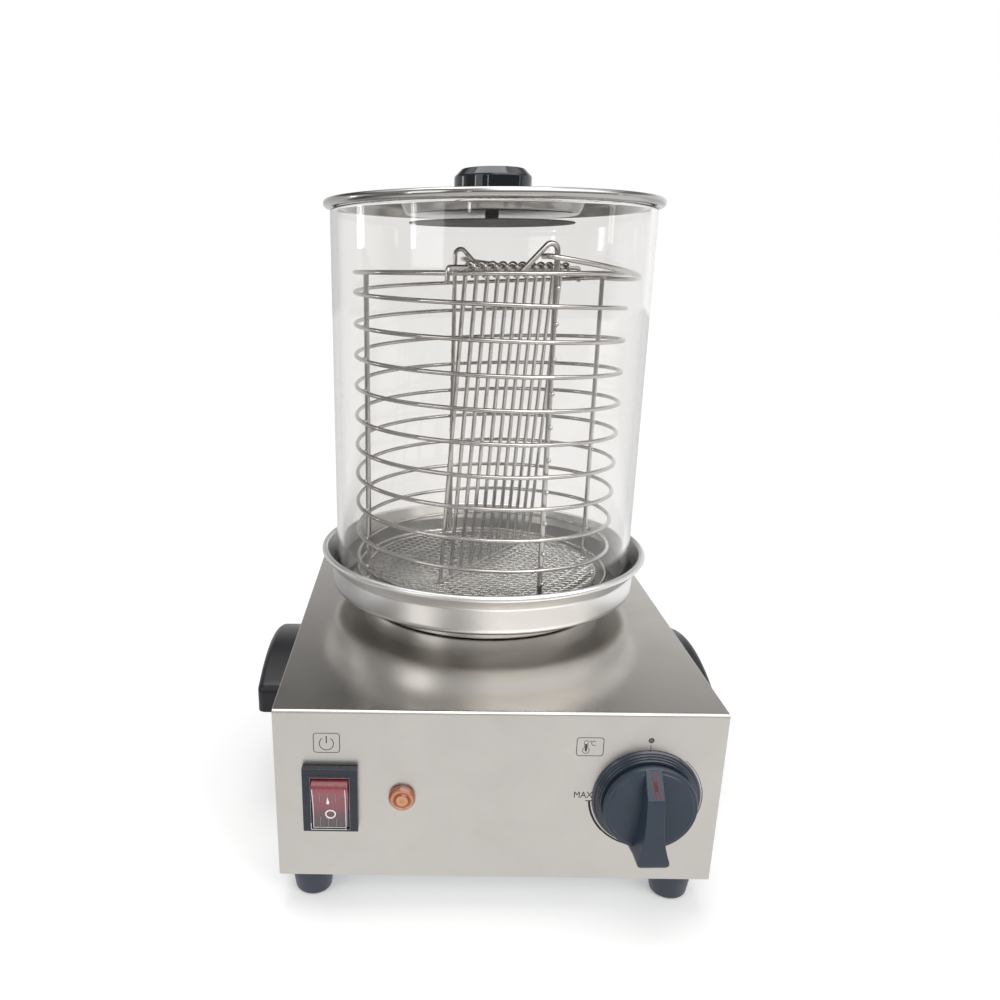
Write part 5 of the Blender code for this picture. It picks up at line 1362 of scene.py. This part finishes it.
@dataclass
class Basket:
    """The lift-out wire basket: rings, spiral, uprights, net, bail and divider."""

    ring_radius: float = 0.0854
    ring_wire: float = 0.0013
    upright_wire: float = 0.0016
    upright_radius: float = 0.08225
    hinge_radius: float = 0.081469
    foot: float = 0.1350
    top: float = 0.3401
    bottom: float = 0.1470
    pitch: float = 0.0192
    spiral_start: float = math.radians(21)
    near: float = math.radians(-68)
    right: float = math.radians(20)
    far: float = math.radians(104)
    left: float = math.radians(-157)
    cross: float = math.radians(-24)
    bail_wire: float = 0.0015
    droop: float = math.radians(8.3)
    weld_radius: float = 0.0838
    cross_level: float = 0.1440
    weld_size: float = 0.0015
    ear: Flat = (0.0062, 0.0089)
    ear_top: float = 0.0212
    ear_end: float = -0.0210
    ear_bend: float = 0.0040

    def build(self) -> None:
        """Model and dress every wire of the basket."""
        for name, height in (("basket_top_ring", self.top), ("basket_bottom_ring", self.bottom)):
            self.ring(name, height)
        self.spiral()
        self.uprights()
        self.welds()
        self.floor()
        self.bail()
        self.divider()

    def ring(self, name: str, height: float) -> None:
        """Bend a closed ring, with the upset of its butt weld.

        Args:
            name: the node that it replaces.
            height: the level of its middle.
        """
        Bench.clear()
        bpy.ops.mesh.primitive_torus_add(
            location=(TOWER[0], TOWER[1], height),
            major_radius=self.ring_radius,
            minor_radius=self.ring_wire,
            major_segments=144,
            minor_segments=12,
        )
        obj = Bench.begin(f"{name}_wire")
        reach, swell = 0.0024, 1.22
        weld = Vector(on_tower(self.ring_radius, math.radians(96), height))
        Bench.pick(obj, "VERT", lambda vert: (vert.co - weld).length < reach)
        bpy.ops.transform.resize(value=(1.0, swell, swell), center_override=tuple(weld))
        Bench.close_up(obj, 60.0)
        Bench.hand_over(obj, Body.BASKET, WIRE, name, name)

    def spiral(self) -> None:
        """Wind the spiral from a circle with a screw modifier, and cap its ends."""
        clear = 2 * self.ring_wire + FIT
        start, end = self.top - clear, self.bottom + clear
        turns = (start - end) / self.pitch
        Bench.clear()
        place = {"location": (self.ring_radius, 0, start), "rotation": (math.pi / 2, 0, 0)}
        bpy.ops.mesh.primitive_circle_add(vertices=12, radius=self.ring_wire, **place)
        obj = Bench.begin("basket_spiral_wire")
        steps = math.ceil(turns * 72)
        Bench.modify(
            obj,
            "SCREW",
            axis="Z",
            angle=-math.tau * turns,
            screw_offset=start - end,
            steps=steps,
            render_steps=steps,
            iterations=1,
        )
        if min(vert.co.z for vert in obj.data.vertices) > start - self.pitch:
            wound = Matrix.Rotation(math.tau * turns, 4, "Z")
            obj.data.transform(Matrix.Translation((0, 0, end - start)) @ wound)
        obj.matrix_world = Matrix.Translation(TOWER) @ Matrix.Rotation(self.spiral_start, 4, "Z")
        Bench.mode("EDIT")
        Bench.select_all()
        bpy.ops.mesh.fill_holes(sides=0)
        Bench.close_up(obj, 60.0)
        Bench.hand_over(obj, Body.BASKET, WIRE, "basket_spiral", "basket_spiral")

    def uprights(self) -> None:
        """Bend the four uprights, two of them with an ear for the bail."""
        straight = [(0, self.foot), (0, self.top + self.ring_wire)]
        corners = [(0, self.foot), (0, self.top + self.ear_top), (self.ear_end, self.top)]
        eared = rounded(corners, (self.ear_bend,), 14)
        for name, radius, angle, flat in (
            ("basket_upright_right", self.upright_radius, self.right, straight),
            ("basket_upright_left", self.upright_radius, self.left, straight),
            ("basket_upright_near", self.hinge_radius, self.near, eared),
            ("basket_upright_far", self.hinge_radius, self.far, eared),
        ):
            run = [on_tower(radius, angle + along / radius, height) for along, height in flat]
            obj = Bench.wire(f"{name}_wire", [run], self.upright_wire, 16)
            Bench.hand_over(obj, Body.BASKET, WIRE, name, name)

    def welds(self) -> None:
        """Set a weld spot wherever the spiral or a ring crosses an upright."""
        start = self.top - 2 * self.ring_wire - FIT
        places = []
        for angle in (self.near, self.right, self.far, self.left):
            lag = (self.spiral_start - angle) % math.tau
            height = start - self.pitch * lag / math.tau
            while height > self.bottom + 0.003:
                places.append(on_tower(self.weld_radius, angle, height))
                height -= self.pitch
            places += [on_tower(self.weld_radius, angle, level) for level in (self.top, self.bottom)]
        Bench.clear()
        spots = []
        shape = {"segments": 10, "ring_count": 6, "radius": self.weld_size}
        for place in places:
            bpy.ops.mesh.primitive_uv_sphere_add(location=place, **shape)
            spots.append(bpy.context.object)
        for spot in spots:
            spot.select_set(True)
        bpy.context.view_layer.objects.active = spots[0]
        bpy.ops.object.join()
        obj = bpy.context.object
        obj.name = "basket_welds"
        Bench.close_up(obj, 60.0)
        Bench.hand_over(obj, Body.BASKET, WIRE, "basket_spiral")

    def floor(self) -> None:
        """Weave the fine net, with its rim, over the crossed support wires."""
        runs = []
        for angle in (self.cross, self.cross + math.pi / 2):
            ends = (angle, angle + math.pi)
            runs.append([on_tower(self.ring_radius, end, self.cross_level) for end in ends])
        cross_wire, net_wire, rim_wire, skew = 0.0014, 0.00036, 0.0011, 0.6
        cross = Bench.wire("basket_cross_wires", runs, cross_wire, 12)
        Bench.hand_over(cross, Body.BASKET, WIRE, "basket_floor_cross", "basket_floor_cross")
        pitch, radius, level, lift = 0.0040, 0.0785, 0.14670, 0.00042
        count = int(radius // pitch)
        weave = []
        for row in range(-count, count + 1):
            offset = row * pitch
            half = math.sqrt(radius**2 - offset**2)
            cells = int(half // pitch)
            waves = ((cell, lift if (row + cell) % 2 else -lift) for cell in range(-cells, cells + 1))
            line = [(-half, 0.0), *((cell * pitch, rise) for cell, rise in waves), (half, 0.0)]
            for way in (1, -1):
                run = []
                for along, rise in line:
                    x, y = (along, offset) if way > 0 else (offset, along)
                    point = Matrix.Rotation(self.cross + skew, 2) @ Vector((x, y))
                    run.append((point.x, TOWER[1] + point.y, level + rise * way))
                weave.append(run)
        net = Bench.wire("basket_net_woven", weave, net_wire, 4)
        Bench.hand_over(net, Body.BASKET, NET_WIRE, "basket_net", "basket_net")
        circle = [on_tower(radius, math.tau * step / 96, level) for step in range(96)]
        rim = Bench.wire("basket_net_rim", [circle], rim_wire, 10, loop=True)
        Bench.hand_over(rim, Body.BASKET, NET_WIRE, "basket_net")

    def hinge(self, upright: float) -> Vector:
        """Return where the bail passes through the ear of an upright."""
        aside, rise = self.ear
        return Vector(on_tower(self.hinge_radius, upright - aside / self.hinge_radius, self.top + rise))

    def bail(self) -> None:
        """Bend the bail through both ears, folded down to the right."""
        ear_gap, glass_gap, peg_inset, bend = 0.0018, 0.0008, 0.0070, 0.0030
        near, far = self.hinge(self.near), self.hinge(self.far)
        middle = (near + far) / 2
        along = (far - near).normalized()
        outward = Vector((along.y, -along.x, 0))
        half_axis = (far - near).length / 2
        half_span = half_axis + self.upright_wire + self.bail_wire + ear_gap
        off_centre = (middle - Vector((TOWER[0], TOWER[1], middle.z))).dot(outward)
        reach = GLASS_RADII[0] - self.bail_wire - glass_gap - off_centre
        peg = half_axis - peg_inset + self.upright_wire
        flat = [(-peg, 0.0), (-half_span, 0.0)]
        flat += [
            (-half_span * math.cos(math.pi * step / 48), reach * math.sin(math.pi * step / 48))
            for step in range(1, 48)
        ]
        flat += [(half_span, 0.0), (peg, 0.0)]
        drop = outward * math.cos(self.droop) - Vector((0, 0, math.sin(self.droop)))
        bends = rounded(flat, (bend, *(0.0 for step in range(47)), bend), 6)
        run = [tuple(middle + along * u + drop * v) for u, v in bends]
        obj = Bench.wire("bail_wire", [run], self.bail_wire, 16)
        Bench.hand_over(obj, Body.BAIL, WIRE, "bail", "bail")

    def divider(self) -> None:
        """Bend the divider: hooked top bar, bottom bar and comb wires folded over the top bar."""
        bar, wire, length, bend, hook = 0.0014, 0.0013, 0.1270, 0.0024, 0.0060
        lean_aside, lean_along, foot_level = 0.0218, 0.0082, 0.1490
        squeeze, near_end, far_end = 0.92, 0.004, 0.0055
        height = self.top + self.ring_wire + FIT + bar
        turns = (math.radians(-108.5), math.radians(40.5))
        near, far = (Vector(on_tower(self.ring_radius, turn, height)) for turn in turns)
        along = (far - near).normalized()
        sideways = Vector((-along.y, along.x, 0))
        shift = sideways * lean_aside + along * lean_along + Vector((0, 0, foot_level - height))
        clear = self.ring_wire + bar + FIT
        over = clear / along.dot(Vector((math.cos(turns[1]), math.sin(turns[1]), 0)))
        ends = near - along * over, far + along * over
        drop = hook + clear
        span = (ends[1] - ends[0]).length
        flat = rounded([(0, -drop), (0, 0), (span, 0), (span, -drop)], (bend, bend), 8)
        hooked = [tuple(ends[0] + along * u + Vector((0, 0, v))) for u, v in flat]
        start = (near + far) / 2 - along * length / 2
        foot = [tuple(start + shift), tuple(start + shift + along * length)]
        bars = Bench.wire("divider_bars", [hooked, foot], bar, 12)
        Bench.hand_over(bars, Body.DIVIDER, WIRE, "divider", "divider")
        pitch = (length - 2 * bar) / 10
        slope = shift.normalized()
        runs = []
        for index in range(11):
            top = start + along * (bar + index * pitch)
            side = sideways * (bar + wire)
            crown = [top + slope * near_end + side]
            for step in range(9):
                turn = math.pi * step / 8
                arm = sideways * math.cos(turn) + Vector((0, 0, math.sin(turn)))
                crown.append(top + arm * (bar + wire) * squeeze)
            crown.append(top - side * squeeze + slope * far_end)
            runs.append([tuple(top + shift), *(tuple(point) for point in crown)])
        comb = Bench.wire("divider_comb", runs, wire, 10)
        Bench.hand_over(comb, Body.DIVIDER, WIRE, "divider")


@dataclass
class Works:
    """The pieces inside the case, which keep the shapes of the model."""

    def build(self) -> None:
        """Dress the heater, the sensor and the wiring pieces."""
        dress_nodes(ALUMINIUM, "heat_plate")
        dress_nodes(ZINC, "heating_element", "element_clamp", "clamp_screw")
        dress_nodes(RESIN, "thermal_cutout")
        dress_nodes(BRASS, "sensor_capillary")
        dress_nodes(NYLON, "terminal_block")


@dataclass
class Studio:
    """The floor, the lights, the world and the camera."""

    lens: float = 31.40
    shift: Flat = (0.0915, 0.0629)
    eye: Point = (-0.04248, -0.55146, 0.34242)
    yaw: float = -0.0143
    pitch: float = 0.3256
    roll: float = 0.0041
    target: Point = (0.0, 0.0, 0.18)

    def build(self) -> None:
        """Set up everything round the machine."""
        self.floor()
        self.world()
        self.light("key", (1.05, -1.25, 1.05), (0.9, 0.9), 9.0, mirrored=False)
        for name, place, size, power in (
            ("fill", (-1.3, -1.2, 0.9), (0.8, 1.2), 5.0),
            ("top", (-0.1, 0.2, 1.7), (1.1, 0.9), 9.0),
            ("left window", (-1.46, 0.38, 0.50), (0.14, 0.24), 0.60),
            ("near window", (-1.25, -0.80, 0.48), (0.06, 0.20), 0.26),
            ("front window", (-0.48, -1.40, 0.52), (0.05, 0.14), 0.16),
            ("right window", (1.48, -0.21, 0.50), (0.06, 0.22), 0.12),
        ):
            self.light(name, place, size, power)
        self.camera()
        bpy.context.scene.view_settings.view_transform = "Standard"

    @staticmethod
    def sight(wiring: Wiring) -> tuple[Socket, Socket]:
        """Tell apart rays that see a thing directly and rays that see it in a mirror.

        Args:
            wiring: the material's or the world's wiring.

        Returns:
            A mask of rays straight from the camera, also through clear glass, and one of mirrored rays.
        """
        path = wiring.add("LightPath").outputs
        bounces = wiring.calc("ADD", path["Glossy Depth"], path["Diffuse Depth"])
        fresh = wiring.calc("LESS_THAN", bounces, 0.5)
        through = wiring.calc("MULTIPLY", path["Is Transmission Ray"], fresh)
        direct = wiring.calc("MAXIMUM", path["Is Camera Ray"], through)
        shiny = wiring.calc("MAXIMUM", path["Is Glossy Ray"], path["Is Transmission Ray"])
        return direct, wiring.calc("SUBTRACT", shiny, direct, clamp=True)

    def floor(self) -> None:
        """Lay the pale floor, which shows white to the camera and keeps the shadow."""
        Bench.clear()
        bpy.ops.mesh.primitive_plane_add(size=12, location=(0, 0, 0))
        plane = bpy.context.object
        plane.name = "studio_floor"
        material = bpy.data.materials.new("studio floor")
        material.use_nodes = True
        wiring = Wiring(material.node_tree)
        direct, mirrored = self.sight(wiring)
        where = wiring.add("TexCoord").outputs["Object"]
        x, y = wiring.axis(where, "X"), wiring.axis(where, "Y")
        seen = wiring.ease(x, (-0.80, -0.35), (0.30, 1.0))
        right = wiring.ease(x, (0.28, 0.45), (1.0, 1.05))
        behind = wiring.ease(y, (-0.10, 0.15), (1.0, 0.42))
        behind = wiring.mix(wiring.ease(x, (0.10, 0.30)), behind, 1.1)
        before = wiring.ease(y, (-1.60, -0.90), (0.45, 1.0))
        for share in (right, behind, before):
            seen = wiring.calc("MULTIPLY", seen, share)
        seen = wiring.mix(wiring.ease(y, (0.30, 0.60)), seen, 0.8)
        plain = wiring.calc("MULTIPLY", direct, wiring.ease(wiring.vector("LENGTH", where), (0.35, 0.90)))
        paint = wiring.mix(mirrored, wiring.mix(plain, 0.90, 0.0), 0.0)
        glow = wiring.mix(plain, wiring.calc("MULTIPLY", direct, 0.24), 1.06)
        glow = wiring.mix(mirrored, glow, seen)
        colour = wiring.add("CombineColor", None, {0: paint, 1: paint, 2: paint}).outputs[0]
        shader = material.node_tree.nodes["Principled BSDF"]
        wiring.feed(shader, {"Base Color": colour, "Roughness": 0.8, "Specular IOR Level": 0.0})
        wiring.feed(shader, {"Emission Color": (1.0, 1.0, 1.0, 1.0), "Emission Strength": glow})
        plane.data.materials.append(material)

    def world(self) -> None:
        """Light evenly from all round, show white to the camera, and a soft room to the metal."""
        world = bpy.data.worlds.new("studio")
        bpy.context.scene.world = world
        world.use_nodes = True
        world.node_tree.nodes.clear()
        wiring = Wiring(world.node_tree)
        direct, mirrored = self.sight(wiring)
        where = wiring.add("TexCoord").outputs["Generated"]
        aside, ahead, rise = (wiring.axis(where, name) for name in "XYZ")
        low = wiring.ease(rise, (0.28, 0.46), (0.70, 0.11))
        high = wiring.ease(rise, (0.57, 0.80), (0.0, 1.10))
        window = wiring.ease(aside, (0.05, 0.28), (0.0, 0.34))
        lower = wiring.ease(rise, (0.40, 0.52), (1.0, 0.45))
        back = wiring.calc("MULTIPLY_ADD", window, lower, wiring.calc("ADD", low, high))
        window = wiring.ease(aside, (-0.40, 0.05), (0.12, 0.85))
        lit = wiring.calc("MULTIPLY_ADD", window, wiring.ease(rise, (0.12, 0.34)), 0.28)
        lamp = wiring.ease(aside, (-0.15, 0.05), (0.0, 2.0))
        front = wiring.calc("MULTIPLY_ADD", wiring.ease(rise, (0.42, 0.54)), lamp, lit)
        room = wiring.mix(wiring.ease(ahead, (-0.15, 0.15)), front, back)
        level = wiring.mix(direct, wiring.mix(mirrored, 0.62, room), 1.0)
        background = wiring.add("Background", None, {"Color": (1, 1, 1, 1), "Strength": level})
        wiring.add("OutputWorld", None, {"Surface": background.outputs[0]})

    def light(self, name: str, place: Point, size: Flat, power: float, mirrored: bool = True) -> None:
        """Hang a soft lamp that points at the middle of the machine.

        Args:
            name: the lamp's name.
            place: where it hangs.
            size: its width and height.
            power: its power in watts.
            mirrored: whether metal shows it, which washes out the top plate when seen from behind.
        """
        Bench.clear()
        bpy.ops.object.light_add(type="AREA", location=place)
        lamp = bpy.context.object
        lamp.name = f"studio_{name}"
        lamp.data.shape = "RECTANGLE"
        lamp.data.size, lamp.data.size_y = size
        lamp.data.energy = power
        lamp.visible_glossy = mirrored
        aim = Vector(self.target) - Vector(place)
        lamp.rotation_euler = aim.to_track_quat("-Z", "Y").to_euler()

    def camera(self) -> None:
        """Set the camera at the place, angle and lens of the photograph."""
        flat = math.cos(self.pitch)
        ahead = Vector((math.sin(self.yaw) * flat, math.cos(self.yaw) * flat, -math.sin(self.pitch)))
        level = Vector((math.cos(self.yaw), -math.sin(self.yaw), 0))
        rise = level.cross(ahead)
        right = level * math.cos(self.roll) + rise * math.sin(self.roll)
        above = rise * math.cos(self.roll) - level * math.sin(self.roll)
        turn = Matrix((right, above, -ahead)).transposed().to_4x4()
        Bench.clear()
        bpy.ops.object.camera_add()
        camera = bpy.context.object
        camera.matrix_world = Matrix.Translation(self.eye) @ turn
        camera.data.sensor_width = 36.0
        camera.data.lens = self.lens
        camera.data.shift_x, camera.data.shift_y = self.shift
        camera.data.clip_start = 0.01
        bpy.context.scene.camera = camera


def main() -> None:
    """Build the studio and every sub-assembly."""
    logging.basicConfig(level=logging.INFO, format="%(message)s")
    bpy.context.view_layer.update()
    for assembly in (Studio(), Case(), Controls(), Tower(), Basket(), Works()):
        LOG.info("building %s", type(assembly).__name__)
        assembly.build()
    Bench.clear()


if __name__ == "__main__":
    main()
